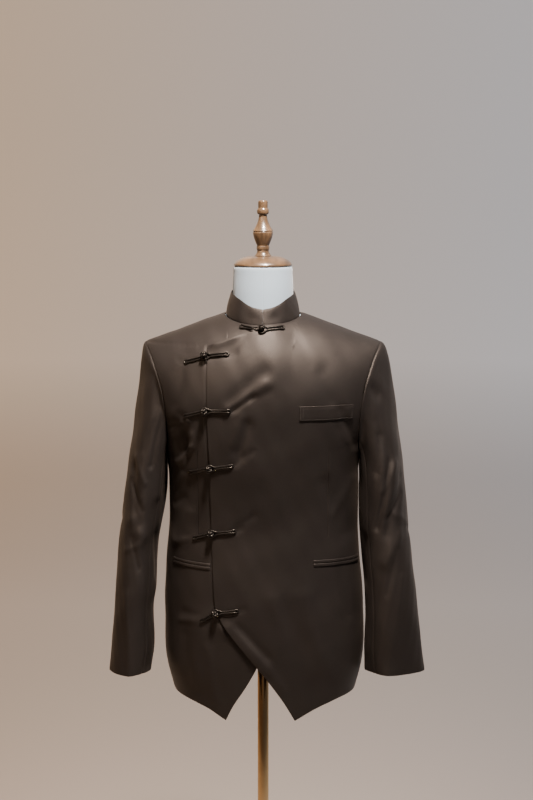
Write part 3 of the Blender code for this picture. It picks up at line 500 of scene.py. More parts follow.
def patch(left, right, bottom, top, across, up):
    """Blends four borders over a grid of shares, as arrays of turn and height."""
    left, right = left(up)[:, None], right(up)[:, None]
    bottom, top = bottom(across)[None], top(across)[None]
    u, v = across[None, :, None], up[:, None, None]
    corners = (
        bottom[:, :1] * (1 - u) * (1 - v)
        + bottom[:, -1:] * u * (1 - v)
        + top[:, :1] * (1 - u) * v
        + top[:, -1:] * u * v
    )
    blended = bottom * (1 - v) + top * v + left * (1 - u) + right * u - corners
    return blended[..., 0], blended[..., 1]


def side_border(v):
    """The side seam and the armhole above it."""
    z = SIDE_HEM_Z + (SHOULDER_TIP_Z - SIDE_HEM_Z) * v
    turn = np.where(z <= ARMPIT_Z + 1e-6, math.pi / 2, turn_at(read(ARMHOLE, z, "x"), z))
    return np.stack((turn, z), -1)


def edge_border(rows, sign):
    """A front's free edge. Sign is -1 for the wearer's right front, whose tables are mirrored."""

    def border(v):
        z = rows[0].z + (rows[-1].z - rows[0].z) * v
        return np.stack((sign * turn_at(sign * read(rows, z, "x"), z), z), -1)

    return border


def neckline(share, centre_z):
    """The collar seam from the centre at 0 to the shoulder at 1, as x and z."""
    angle = share * math.pi / 2
    x = NECK_SIDE_X * np.sin(angle)
    z = centre_z + (NECK_SIDE_Z - centre_z) * (1 - np.maximum(np.cos(angle), 0.0) ** 1.5)
    return x, np.minimum(z, shoulder_height(x))


def front_top(start, diagonal, corner_share, neck_share, sign):
    """A front's top border: its diagonal edge, if it has one, its neckline and its shoulder seam."""
    first = math.asin(start / NECK_SIDE_X) / (math.pi / 2)

    def border(u):
        share = np.clip((u - corner_share) / (neck_share - corner_share), 0.0, 1.0)
        x, z = neckline(first + (1 - first) * share, NECK_FRONT_Z)
        share = (u - neck_share) / (1 - neck_share)
        shoulder_x = NECK_SIDE_X + (SHOULDER_TIP_X - NECK_SIDE_X) * share
        x = np.where(u < neck_share, x, shoulder_x)
        z = np.where(u < neck_share, z, shoulder_height(shoulder_x))
        if diagonal:
            slant = along(diagonal, np.clip(u / corner_share, 0.0, 1.0))
            x = np.where(u < corner_share, slant[..., 0], x)
            z = np.where(u < corner_share, slant[..., 1], z)
        return np.stack((sign * turn_at(sign * x, z), z), -1)

    return border


def hem_border(points, sign):
    chain = [(float(sign * turn_at(sign * x, z)), z) for x, z in points]
    chain.append((math.pi / 2, SIDE_HEM_Z))
    return lambda u: along(chain, u)


def spread(stops, counts, margins):
    """Shares from 0 to 1 through the stops, evenly within each, with extra ones close to both ends."""
    shares = [0.0, *margins, *(1 - margin for margin in margins)]
    for start, end, count in zip(stops, stops[1:], counts):
        shares += [start + (end - start) * i / count for i in range(1, count + 1)]
    shares = np.array(sorted(shares))
    return shares[np.concatenate(([True], np.diff(shares) > 1e-6))]


def panel_rows():
    """Shares of a panel's height, closer together where the shoulder rounds over and at the hem."""
    drops = 0.09 * (np.arange(27) / 26) ** 2
    upper = SHOULDER_TIP_Z - drops
    lower = np.linspace(upper[-1], SIDE_HEM_Z + 0.004, 132)[1:]
    heights = np.concatenate((upper, lower, [SIDE_HEM_Z + 0.002, SIDE_HEM_Z + 0.0007, SIDE_HEM_Z]))
    return ((heights - SIDE_HEM_Z) / (SHOULDER_TIP_Z - SIDE_HEM_Z))[::-1]


# Meshes


def add_object(name, mesh, look=None):
    obj = bpy.data.objects.new(name, mesh)
    bpy.context.scene.collection.objects.link(obj)
    if look:
        mesh.materials.append(look)
    return obj


def only(obj):
    """Makes an object the only one selected, and the active one."""
    bpy.ops.object.select_all(action="DESELECT")
    obj.select_set(True)
    bpy.context.view_layer.objects.active = obj


def apply_modifier(obj, kind, **settings):
    modifier = obj.modifiers.new(kind.title(), kind)
    for name, value in settings.items():
        setattr(modifier, name, value)
    only(obj)
    bpy.ops.object.modifier_apply(modifier=modifier.name)


def attach(obj, slot, *nodes):
    """Hands a finished piece to the frame, in place of the nodes that it stands for."""
    if nodes:
        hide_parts(*nodes)
    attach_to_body(obj, "root")


def edge_distances(points):
    """Each point's distance along the cloth from the left, right, bottom and top borders of its grid."""
    across = np.linalg.norm(np.diff(points, axis=1), axis=2)
    up = np.linalg.norm(np.diff(points, axis=0), axis=2)
    left = np.pad(np.cumsum(across, axis=1), ((0, 0), (1, 0)))
    bottom = np.pad(np.cumsum(up, axis=0), ((1, 0), (0, 0)))
    return left, left[:, -1:] - left, bottom, bottom[-1:] - bottom


def pressed(distance, depth=0.0009, width=0.0032):
    """How far a seam draws the cloth in near it."""
    return -depth * (1 - smooth_step(distance / width))


def grid_faces(rows, columns, flip=False):
    index = np.arange(rows * columns).reshape(rows, columns)
    quads = np.stack((index[:-1, :-1], index[:-1, 1:], index[1:, 1:], index[1:, :-1]), -1).reshape(-1, 4)
    return quads[:, ::-1] if flip else quads


def make_mesh(name, points, faces, grain):
    """A smooth mesh with a UV map in metres, given as one pair for each corner of each face."""
    mesh = bpy.data.meshes.new(name)
    mesh.from_pydata(np.asarray(points, float).reshape(-1, 3).tolist(), [], faces)
    mesh.uv_layers.new(name="grain").data.foreach_set("uv", np.asarray(grain, float).ravel())
    mesh.shade_smooth()
    return mesh


def make_sheet(name, points, look, thickness, flip=False, grain=None):
    """A grid of points made into cloth: thickened inwards, with softly rounded edges."""
    if grain is None:
        _, right, bottom, _ = edge_distances(points)
        grain = np.stack((-right, bottom), -1)
    quads = grid_faces(*points.shape[:2], flip)
    mesh = make_mesh(name, points, quads.tolist(), grain.reshape(-1, 2)[quads.ravel()])
    obj = add_object(name, mesh, look)
    apply_modifier(obj, "SOLIDIFY", thickness=thickness, offset=-1)
    apply_modifier(
        obj,
        "BEVEL",
        width=0.28 * thickness,
        segments=2,
        limit_method="ANGLE",
        angle_limit=math.radians(60),
        harden_normals=False,
    )
    obj.data.set_sharp_from_angle(angle=math.radians(60))
    return obj


def tube(line, radius, sides, closed=False):
    """Points, faces and corner grain of a round cord along a line of points."""
    line = np.asarray(line, float)
    if closed:
        ahead = unit(np.roll(line, -1, 0) - np.roll(line, 1, 0))
    else:
        ahead = unit(np.gradient(line, axis=0))
    guide = np.eye(3)[np.argmin(np.abs(ahead[0]))]
    aside = np.empty_like(line)
    aside[0] = unit(guide - ahead[0] * guide.dot(ahead[0]))
    for i in range(1, len(line)):
        aside[i] = unit(aside[i - 1] - ahead[i] * aside[i - 1].dot(ahead[i]))
    if closed:
        home = unit(aside[-1] - ahead[0] * aside[-1].dot(ahead[0]))
        twist = math.atan2(np.cross(home, aside[0]).dot(ahead[0]), home.dot(aside[0]))
        turn = twist * np.arange(len(line))[:, None] / len(line)
        aside = aside * np.cos(turn) + np.cross(ahead, aside) * np.sin(turn)
    third = np.cross(ahead, aside)
    angle = (2 * math.pi * np.arange(sides) / sides)[None, :, None]
    radius = np.broadcast_to(np.asarray(radius, float), (len(line),))[:, None, None]
    skin = line[:, None] + (aside[:, None] * np.cos(angle) + third[:, None] * np.sin(angle)) * radius
    count = len(line)
    step = np.linalg.norm(np.roll(line, -1, 0) - line, axis=1)
    run = np.concatenate(([0.0], np.cumsum(step)))
    girth = 2 * math.pi * float(radius.mean()) / sides
    faces, grain = [], []
    for i in range(count if closed else count - 1):
        for j in range(sides):
            right, above = (j + 1) % sides, (i + 1) % count
            faces.append([i * sides + j, i * sides + right, above * sides + right, above * sides + j])
            for row, column in ((i, j), (i, j + 1), (i + 1, j + 1), (i + 1, j)):
                grain.append((run[row], column * girth))
    if not closed:
        for ring in (range(sides - 1, -1, -1), range((count - 1) * sides, count * sides)):
            faces.append(list(ring))
            grain += [(0.0, 0.0)] * sides
    return skin.reshape(-1, 3), faces, grain


def cords_mesh(name, tubes):
    """One mesh of several cords."""
    points, faces, grain = [], [], []
    for skin, rings, corners in tubes:
        first = sum(map(len, points))
        points.append(skin)
        faces += [[corner + first for corner in face] for face in rings]
        grain += corners
    return make_mesh(name, np.concatenate(points), faces, grain)


# Finishes, with the place of the front darts

FINISHES = {}
DART_X = 0.1235
DART_TOP_Z = 1.190
DART_END_Z = 1.010


def new_finish(name, colour, roughness, **sockets):
    """A material whose constant values sit on the shader itself."""
    finish = bpy.data.materials.new(name)
    finish.use_nodes = True
    finish.diffuse_color = (*colour, 1.0)
    shader = finish.node_tree.nodes["Principled BSDF"]
    shader.inputs["Base Color"].default_value = (*colour, 1.0)
    shader.inputs["Roughness"].default_value = roughness
    for socket, value in sockets.items():
        shader.inputs[socket.replace("_", " ")].default_value = value
    return finish


def node(finish, kind, inputs=None, **settings):
    made = finish.node_tree.nodes.new("ShaderNode" + kind)
    for name, value in settings.items():
        setattr(made, name, value)
    for socket, value in (inputs or {}).items():
        if isinstance(value, bpy.types.NodeSocket):
            finish.node_tree.links.new(value, made.inputs[socket])
        else:
            made.inputs[socket].default_value = value
    return made


def maths(finish, operation, first, second=0.0, third=0.0, clamp=False):
    made = node(finish, "Math", {0: first, 1: second, 2: third}, operation=operation, use_clamp=clamp)
    return made.outputs[0]


def blend(finish, share, low, high):
    """A colour between two, at a share from 0 to 1."""
    colours = {0: share}
    for socket, colour in ((6, low), (7, high)):
        colours[socket] = colour if isinstance(colour, bpy.types.NodeSocket) else (*colour, 1.0)
    return node(finish, "Mix", colours, data_type="RGBA").outputs[2]


def noise(finish, vector, scale, detail=2.0, roughness=0.5):
    inputs = {"Vector": vector, "Scale": scale, "Detail": detail, "Roughness": roughness}
    return node(finish, "TexNoise", inputs).outputs["Fac"]


def between(finish, value, low, high):
    """The value's share of the way from low to high, kept from 0 to 1."""
    inputs = {"Value": value, "From Min": low, "From Max": high}
    return node(finish, "MapRange", inputs).outputs["Result"]


def stripes(finish, vector, period, direction="X", distortion=0.0):
    """Smooth stripes that repeat at a period in metres."""
    scale = 2 * math.pi / (10 * period) * (0.5 if direction in "XYZ" else 1.0)
    inputs = {"Vector": vector, "Scale": scale, "Distortion": distortion, "Detail": 1.0}
    return node(finish, "TexWave", inputs, bands_direction=direction).outputs["Fac"]


def bump(finish, height, strength, distance, beneath=None):
    inputs = {"Height": height, "Strength": strength, "Distance": distance}
    if beneath:
        inputs["Normal"] = beneath
    return node(finish, "Bump", inputs).outputs["Normal"]


def connect(finish, **sockets):
    shader = finish.node_tree.nodes["Principled BSDF"]
    for socket, value in sockets.items():
        finish.node_tree.links.new(value, shader.inputs[socket.replace("_", " ")])
    return finish


def stretched(finish, vector, scale):
    return node(finish, "Mapping", {"Vector": vector, "Scale": scale}).outputs["Vector"]


def object_place(finish):
    return node(finish, "TexCoord").outputs["Object"]


def grain_place(finish):
    return node(finish, "UVMap", uv_map="grain").outputs["UV"]


def cloth_finish():
    """Fine worsted twill with a satin lustre, in a brown that is nearly black."""
    jacket = bpy.context.scene.jacket
    dark, light = tuple(jacket.cloth_colour), tuple(jacket.cloth_light_colour)
    finish = new_finish(
        "worsted_twill",
        dark,
        jacket.cloth_roughness,
        Specular_IOR_Level=0.41,
        Specular_Tint=(1.0, 0.87, 0.79, 1.0),
        Sheen_Weight=jacket.cloth_sheen,
        Sheen_Roughness=0.45,
        Sheen_Tint=(0.85, 0.66, 0.52, 1.0),
    )
    place, grain = object_place(finish), grain_place(finish)
    mottling = between(finish, noise(finish, place, 7.0, 4.0, 0.6), 0.34, 0.68)
    yarns = noise(finish, stretched(finish, grain, (1.0, 0.16, 1.0)), 1500.0, 1.0)
    flecks = between(finish, yarns, 0.38, 0.74)
    share = maths(finish, "MULTIPLY_ADD", flecks, 0.55, maths(finish, "MULTIPLY", mottling, 0.40), True)
    twill = stripes(finish, grain, 0.0011, "DIAGONAL")
    handled = between(finish, noise(finish, place, 11.0, 3.0), 0.3, 0.75)
    rough = maths(finish, "MULTIPLY_ADD", handled, 0.10, jacket.cloth_roughness - 0.05)
    crumple = bump(finish, noise(finish, place, 26.0, 3.0, 0.55), 0.30, 0.0009)
    dart = bump(finish, dart_line(finish, place), 0.9, 0.0010, crumple)
    weave = bump(finish, twill, 0.45, 0.00009, dart)
    cloth = bump(finish, yarns, 0.25, 0.00008, weave)
    return connect(finish, Base_Color=blend(finish, share, dark, light), Roughness=rough, Normal=cloth)


def dart_line(finish, place):
    """0 on the line of each front dart, and 1 away from it."""
    parts = node(finish, "SeparateXYZ", {"Vector": place})
    from_centre = maths(finish, "ABSOLUTE", parts.outputs[0])
    beside = maths(finish, "ABSOLUTE", maths(finish, "SUBTRACT", from_centre, DART_X))
    off_line = between(finish, beside, 0.0002, 0.0011)
    behind = between(finish, parts.outputs[1], -0.03, -0.02)
    above = between(finish, parts.outputs[2], DART_TOP_Z - 0.01, DART_TOP_Z)
    below = between(finish, parts.outputs[2], DART_END_Z + 0.01, DART_END_Z)
    outside = maths(finish, "MAXIMUM", behind, maths(finish, "MAXIMUM", above, below))
    return maths(finish, "MAXIMUM", off_line, outside)


def cord_finish():
    """Black satin cord, laid from twisted strands, with a painted highlight along each strand."""
    jacket = bpy.context.scene.jacket
    colour = tuple(jacket.cord_colour)
    finish = new_finish(
        "satin_cord",
        colour,
        0.30,
        Specular_IOR_Level=0.32,
        Specular_Tint=(1.0, 0.88, 0.76, 1.0),
    )
    grain, place = grain_place(finish), object_place(finish)
    strands = stripes(finish, grain, 0.0016, "DIAGONAL")
    fibres = noise(finish, stretched(finish, grain, (0.3, 1.0, 1.0)), 2400.0, 1.0)
    # Painted highlight: each strand is coloured lighter along its crest, where the bump stands highest.
    lit = tuple(min(1.0, 2.4 * channel + 0.003) for channel in colour)
    share = maths(finish, "MULTIPLY", strands, 0.7)
    rough = maths(finish, "MULTIPLY_ADD", noise(finish, place, 160.0), 0.16, 0.24)
    laid = bump(finish, strands, 0.45, 0.00022)
    fine = bump(finish, fibres, 0.3, 0.0001, laid)
    return connect(finish, Base_Color=blend(finish, share, colour, lit), Roughness=rough, Normal=fine)


def thread_finish():
    finish = new_finish("sewing_thread", (0.014, 0.011, 0.010), 0.6)
    grain = grain_place(finish)
    twist = stripes(finish, grain, 0.0006, "DIAGONAL")
    # Painted highlight: the thread is coloured lighter along each twist's crest, where the bump stands
    # highest.
    shades = blend(finish, twist, (0.009, 0.0075, 0.007), (0.030, 0.024, 0.020))
    return connect(finish, Base_Color=shades, Normal=bump(finish, twist, 0.5, 0.0001))


def jersey_finish():
    """White cotton jersey, stretched over the form, with its seam down the centre."""
    colour = tuple(bpy.context.scene.form.jersey_colour)
    finish = new_finish("white_jersey", colour, 0.78, Sheen_Weight=0.25, Sheen_Roughness=0.5)
    place = object_place(finish)
    parts = node(finish, "SeparateXYZ", {"Vector": place})
    wales = stripes(finish, place, 0.0016, "X")
    courses = stripes(finish, place, 0.0012, "Z")
    knit = maths(finish, "MULTIPLY", wales, courses)
    soiled = between(finish, noise(finish, place, 9.0, 4.0, 0.6), 0.35, 0.8)
    shade = tuple(0.90 * channel for channel in colour)
    seam = between(finish, maths(finish, "ABSOLUTE", parts.outputs[0]), 0.0002, 0.0010)
    fibres = bump(finish, noise(finish, place, 700.0), 0.15, 0.0002)
    knitted = bump(finish, knit, 0.20, 0.00015, fibres)
    return connect(
        finish,
        Base_Color=blend(finish, maths(finish, "MULTIPLY", soiled, 0.6), colour, shade),
        Normal=bump(finish, seam, 0.35, 0.0006, knitted),
    )


def wood_finish(name, stretch):
    """Varnished turned wood. Stretch is how fast the grain changes along each axis."""
    colour = tuple(bpy.context.scene.form.wood_colour)
    finish = new_finish(name, colour, 0.34, Specular_IOR_Level=0.5, Coat_Weight=0.55, Coat_Roughness=0.12)
    place = object_place(finish)
    streaks = noise(finish, stretched(finish, place, stretch), 9.0, 6.0, 0.62)
    fine = noise(finish, stretched(finish, place, tuple(4 * s for s in stretch)), 22.0, 3.0, 0.6)
    dark = tuple(0.42 * channel for channel in colour)
    light = tuple(min(1.0, 1.30 * channel) for channel in colour)
    broad = blend(finish, between(finish, streaks, 0.32, 0.70), dark, light)
    pores = between(finish, fine, 0.30, 0.48)
    shades = blend(finish, pores, tuple(0.6 * channel for channel in colour), broad)
    rough = maths(finish, "MULTIPLY_ADD", noise(finish, place, 60.0, 3.0), 0.22, 0.22)
    return connect(finish, Base_Color=shades, Roughness=rough, Normal=bump(finish, fine, 0.12, 0.0003))


def brass_finish():
    """Polished brass with faint draw lines and finger marks."""
    colour = tuple(bpy.context.scene.form.brass_colour)
    finish = new_finish("polished_brass", colour, 0.14, Metallic=1.0)
    place = object_place(finish)
    marks = between(finish, noise(finish, place, 30.0, 5.0, 0.65), 0.45, 0.8)
    drawn = noise(finish, stretched(finish, place, (90.0, 90.0, 2.0)), 10.0, 2.0)
    tarnish = tuple(0.72 * channel for channel in colour)
    rough = maths(finish, "MULTIPLY_ADD", marks, 0.16, maths(finish, "MULTIPLY_ADD", drawn, 0.05, 0.07))
    shades = blend(finish, maths(finish, "MULTIPLY", marks, 0.5), colour, tarnish)
    return connect(finish, Base_Color=shades, Roughness=rough, Normal=bump(finish, drawn, 0.05, 0.0002))


def room_finish():
    """Matt paint that glows behind the form, with painted warm light on the left and painted cool light on
    the right.
    """
    stage = bpy.context.scene.stage
    finish = new_finish("glowing_matt_paint", (0.55, 0.52, 0.48), 0.92, Emission_Strength=stage.room_glow)
    place = object_place(finish)
    parts = node(finish, "SeparateXYZ", {"Vector": place})
    share = between(finish, parts.outputs[0], -2.2, 1.6)
    rolled = bump(finish, noise(finish, place, 120.0, 3.0), 0.1, 0.0006)
    # Painted light: the colour runs from warm on the left to cool on the right, and the glow takes the same
    # colours.
    shades = blend(finish, share, tuple(stage.left_colour), tuple(stage.right_colour))
    # Painted glow: the room behind the form gives out light, though it is no lamp. The glow is strongest on
    # the walls, weaker on the floor, and nearly dark in front.
    behind = between(finish, parts.outputs[1], 0.2, 3.2)
    glow_mask = maths(finish, "MULTIPLY", behind, between(finish, parts.outputs[2], -0.5, 0.6))
    glow = blend(finish, glow_mask, (0.010, 0.010, 0.011), shades)
    return connect(finish, Base_Color=shades, Emission_Color=glow, Normal=rolled)


def finish_of(make, *details):
    """Makes each finish once, however many operators ask for it."""
    key = make.__name__ + "".join(map(str, details))
    if key not in FINISHES:
        FINISHES[key] = make(*details)
    return FINISHES[key]


# Turned pieces


Turn = namedtuple("Turn", "radius z corner")


def turned_profile(rows, step):
    """Points down a profile: a smooth curve between its corners."""
    points = [(rows[0].radius, rows[0].z)]
    start = 0
    for end in range(1, len(rows)):
        if not rows[end].corner and end < len(rows) - 1:
            continue
        stretch = np.array([(row.radius, row.z) for row in rows[start : end + 1]])
        length = np.linalg.norm(np.diff(stretch, axis=0), axis=1).sum()
        count = 1 if len(stretch) == 2 else max(int(length / step), 2)
        points += [tuple(point) for point in along(stretch, np.arange(1, count + 1) / count)]
        start = end
    return [(max(float(radius), 0.0006), float(z)) for radius, z in points]


def turn_piece(name, rows, look, segments, step=0.0012, rounding=0.0006, bored=False):
    """Turns a profile from its top down: a circle, extruded and resized row by row, then closed."""
    profile = turned_profile(rows, step)
    bpy.ops.object.select_all(action="DESELECT")
    radius, height = profile[0]
    bpy.ops.mesh.primitive_circle_add(vertices=segments, radius=radius, location=(0.0, 0.0, height))
    obj = bpy.context.active_object
    obj.name = obj.data.name = name
    bpy.ops.object.mode_set(mode="EDIT")
    bpy.ops.mesh.select_all(action="SELECT")
    if not bored:
        bpy.ops.mesh.edge_face_add()
    for next_radius, next_height in profile[1:] + ([profile[0]] if bored else []):
        bpy.ops.mesh.select_mode(type="EDGE")
        bpy.ops.mesh.extrude_edges_move(
            TRANSFORM_OT_translate={"value": (0.0, 0.0, next_height - height)}
        )
        share = next_radius / radius
        bpy.ops.transform.resize(value=(share, share, 1.0), center_override=(0.0, 0.0, next_height))
        radius, height = next_radius, next_height
    if bored:
        bpy.ops.mesh.select_all(action="SELECT")
        bpy.ops.mesh.remove_doubles(threshold=1e-5)
    else:
        bpy.ops.mesh.edge_face_add()
    bpy.ops.mesh.select_all(action="SELECT")
    bpy.ops.mesh.normals_make_consistent(inside=False)
    bpy.ops.object.mode_set(mode="OBJECT")
    bpy.ops.object.transform_apply(location=True, rotation=True, scale=True)
    if rounding:
        apply_modifier(
            obj,
            "BEVEL",
            width=rounding,
            segments=2,
            limit_method="ANGLE",
            angle_limit=math.radians(35),
        )
    only(obj)
    bpy.ops.object.shade_smooth_by_angle(angle=math.radians(32))
    obj.data.materials.clear()
    obj.data.materials.append(look)
    return obj


FINIAL = (
    Turn(0.0000, 1.6505, 1),
    Turn(0.0066, 1.6503, 0),
    Turn(0.0086, 1.6492, 0),
    Turn(0.0093, 1.6470, 0),
    Turn(0.0092, 1.6362, 1),
    Turn(0.0098, 1.6352, 0),
    Turn(0.0112, 1.6325, 0),
    Turn(0.0115, 1.6290, 0),
    Turn(0.0110, 1.6255, 0),
    Turn(0.0092, 1.6240, 1),
    Turn(0.0079, 1.6232, 0),
    Turn(0.0084, 1.6170, 0),
    Turn(0.0106, 1.6090, 0),
    Turn(0.0149, 1.6000, 0),
    Turn(0.0185, 1.5945, 0),
    Turn(0.0196, 1.5928, 1),
    Turn(0.0184, 1.5916, 1),
    Turn(0.0193, 1.5900, 0),
    Turn(0.0188, 1.5850, 0),
    Turn(0.0171, 1.5785, 0),
    Turn(0.0141, 1.5705, 0),
    Turn(0.0115, 1.5645, 1),
    Turn(0.0121, 1.5630, 0),
    Turn(0.0122, 1.5575, 0),
    Turn(0.0112, 1.5556, 1),
    Turn(0.0115, 1.5530, 0),
    Turn(0.0132, 1.5490, 0),
    Turn(0.0164, 1.5452, 1),
    Turn(0.0000, 1.5450, 1),
)
CAP = (
    Turn(0.0000, 1.5447, 1),
    Turn(0.0160, 1.5445, 0),
    Turn(0.0300, 1.5435, 0),
    Turn(0.0390, 1.5412, 0),
    Turn(0.0450, 1.5385, 0),
    Turn(0.0505, 1.5350, 0),
    Turn(0.0540, 1.5315, 0),
    Turn(0.0556, 1.5283, 0),
    Turn(0.0550, 1.5262, 0),
    Turn(0.0538, 1.5253, 1),
    Turn(0.0000, 1.5253, 1),
)
NECK_BLOCK = (
    Turn(0.0000, 1.5250, 1),
    Turn(0.0530, 1.5250, 1),
    Turn(0.0549, 1.5246, 0),
    Turn(0.0560, 1.5232, 0),
    Turn(0.0567, 1.5100, 0),
    Turn(0.0575, 1.4940, 0),
    Turn(0.0580, 1.4780, 0),
    Turn(0.0580, 1.4403, 1),
    Turn(0.0000, 1.4403, 1),
)
SOCKET = (
    Turn(0.0113, 0.7997, 1),
    Turn(0.0300, 0.7997, 1),
    Turn(0.0300, 0.7960, 1),
    Turn(0.0240, 0.7950, 0),
    Turn(0.0200, 0.7925, 0),
    Turn(0.0200, 0.7740, 1),
    Turn(0.0193, 0.7735, 1),
    Turn(0.0193, 0.7720, 1),
    Turn(0.0200, 0.7715, 1),
    Turn(0.0198, 0.7697, 0),
    Turn(0.0185, 0.7685, 1),
    Turn(0.0113, 0.7685, 1),
)
FOOT = (
    Turn(0.0113, 0.0520, 1),
    Turn(0.0168, 0.0520, 1),
    Turn(0.0184, 0.0514, 0),
    Turn(0.0190, 0.0498, 0),
    Turn(0.0190, 0.0450, 1),
    Turn(0.0182, 0.0445, 1),
    Turn(0.0182, 0.0430, 1),
    Turn(0.0190, 0.0425, 1),
    Turn(0.0190, 0.0310, 0),
    Turn(0.0205, 0.0262, 0),
    Turn(0.0262, 0.0225, 0),
    Turn(0.0330, 0.0206, 0),
    Turn(0.0340, 0.0196, 1),
    Turn(0.0340, 0.0163, 1),
    Turn(0.0113, 0.0163, 1),
)
BASE = (
    Turn(0.0000, 0.0160, 1),
    Turn(0.0420, 0.0160, 0),
    Turn(0.1000, 0.0148, 0),
    Turn(0.1500, 0.0125, 0),
    Turn(0.1690, 0.0108, 0),
    Turn(0.1735, 0.0092, 0),
    Turn(0.1750, 0.0068, 1),
    Turn(0.1750, 0.0000, 1),
    Turn(0.0000, 0.0000, 1),
)
POLE = (Turn(0.0110, 0.7997, 1), Turn(0.0110, 0.0163, 1))
ROOM = (
    Turn(0.0100, 0.0000, 1),
    Turn(5.6000, 0.0000, 0),
    Turn(6.3000, 0.0700, 0),
    Turn(6.8000, 0.3500, 0),
    Turn(7.1000, 0.9500, 0),
    Turn(7.2000, 1.8000, 0),
    Turn(7.2000, 6.5000, 1),
)


# Sizes and colours


class JacketSettings(bpy.types.PropertyGroup):
    """Sizes and colours of the jacket."""

    cloth_thickness: bpy.props.FloatProperty(
        name="Cloth thickness",
        description="Thickness of the cloth with its interlining",
        default=0.0019,
        min=0.001,
        max=0.003,
        unit="LENGTH",
        subtype="DISTANCE",
    )
    crease_strength: bpy.props.FloatProperty(
        name="Crease strength",
        description="How strongly the fine creases stand out, as a share of their modelled height",
        default=1.0,
        min=0.0,
        max=1.5,
        subtype="FACTOR",
    )
    cloth_colour: bpy.props.FloatVectorProperty(
        name="Cloth colour",
        description="Colour of the darker yarns",
        default=(0.0060, 0.0053, 0.0055),
        min=0.0,
        max=1.0,
        size=3,
        subtype="COLOR",
    )
    cloth_light_colour: bpy.props.FloatVectorProperty(
        name="Light yarn colour",
        description="Colour of the lighter yarns in the twill",
        default=(0.0150, 0.0124, 0.0112),
        min=0.0,
        max=1.0,
        size=3,
        subtype="COLOR",
    )
    cloth_roughness: bpy.props.FloatProperty(
        name="Cloth roughness",
        description="How dull the cloth's lustre is",
        default=0.53,
        min=0.1,
        max=1.0,
        subtype="FACTOR",
    )
    cloth_sheen: bpy.props.FloatProperty(
        name="Cloth sheen",
        description="How much the cloth's nap catches the light",
        default=0.02,
        min=0.0,
        max=1.0,
        subtype="FACTOR",
    )
    cord_radius: bpy.props.FloatProperty(
        name="Cord radius",
        description="Radius of the satin cord of the frogs",
        default=0.00175,
        min=0.001,
        max=0.003,
        unit="LENGTH",
        subtype="DISTANCE",
    )
    knot_radius: bpy.props.FloatProperty(
        name="Knot radius",
        description="Radius of the knot button, measured to the middle of its cord",
        default=0.0050,
        min=0.004,
        max=0.006,
        unit="LENGTH",
        subtype="DISTANCE",
    )
    cord_colour: bpy.props.FloatVectorProperty(
        name="Cord colour",
        description="Colour of the frogs' satin cord",
        default=(0.0032, 0.0027, 0.0026),
        min=0.0,
        max=1.0,
        size=3,
        subtype="COLOR",
    )


class FormSettings(bpy.types.PropertyGroup):
    """Colours of the dress form and its stand."""

    jersey_colour: bpy.props.FloatVectorProperty(
        name="Jersey colour",
        description="Colour of the cloth that covers the form",
        default=(0.33, 0.415, 0.50),
        min=0.0,
        max=1.0,
        size=3,
        subtype="COLOR",
    )
    wood_colour: bpy.props.FloatVectorProperty(
        name="Wood colour",
        description="Colour of the turned cap and finial",
        default=(0.13, 0.078, 0.042),
        min=0.0,
        max=1.0,
        size=3,
        subtype="COLOR",
    )
    brass_colour: bpy.props.FloatVectorProperty(
        name="Brass colour",
        description="Colour of the pole, socket, foot and base",
        default=(0.70, 0.49, 0.25),
        min=0.0,
        max=1.0,
        size=3,
        subtype="COLOR",
    )
    smoothness: bpy.props.IntProperty(
        name="Steps round",
        description="How many faces go round a turned piece",
        default=72,
        min=24,
        max=160,
    )


class StageSettings(bpy.types.PropertyGroup):
    """Lights and colours of the room."""

    # The left and right colours are the room's paint and also painted light: warm on the left and cool on the
    # right.
    left_colour: bpy.props.FloatVectorProperty(
        name="Left colour",
        description="Colour of the room on the viewer's left",
        default=(0.42, 0.305, 0.205),
        min=0.0,
        max=1.0,
        size=3,
        subtype="COLOR",
    )
    right_colour: bpy.props.FloatVectorProperty(
        name="Right colour",
        description="Colour of the room on the viewer's right",
        default=(0.35, 0.345, 0.355),
        min=0.0,
        max=1.0,
        size=3,
        subtype="COLOR",
    )
    key_power: bpy.props.FloatProperty(
        name="Key light",
        description="Power of the high light over the front, in watts",
        default=72.0,
        min=0.0,
        max=1000.0,
        unit="POWER",
    )
    lamp_power: bpy.props.FloatProperty(
        name="Warm light",
        description="Power of the wide warm light on the left, in watts",
        default=3.5,
        min=0.0,
        max=1000.0,
        unit="POWER",
    )
    fill_power: bpy.props.FloatProperty(
        name="Fill light",
        description="Power of the wide cool lights on the right and behind, in watts",
        default=4.0,
        min=0.0,
        max=1000.0,
        unit="POWER",
    )
    world_strength: bpy.props.FloatProperty(
        name="Sky",
        description="Brightness of the even light from above",
        default=0.04,
        min=0.0,
        max=3.0,
    )
    # The room glow is painted light: the room's paint gives out light behind the form, though it is no lamp.
    room_glow: bpy.props.FloatProperty(
        name="Room glow",
        description="How much even light the room's paint gives back",
        default=1.12,
        min=0.0,
        max=3.0,
    )


# Pieces


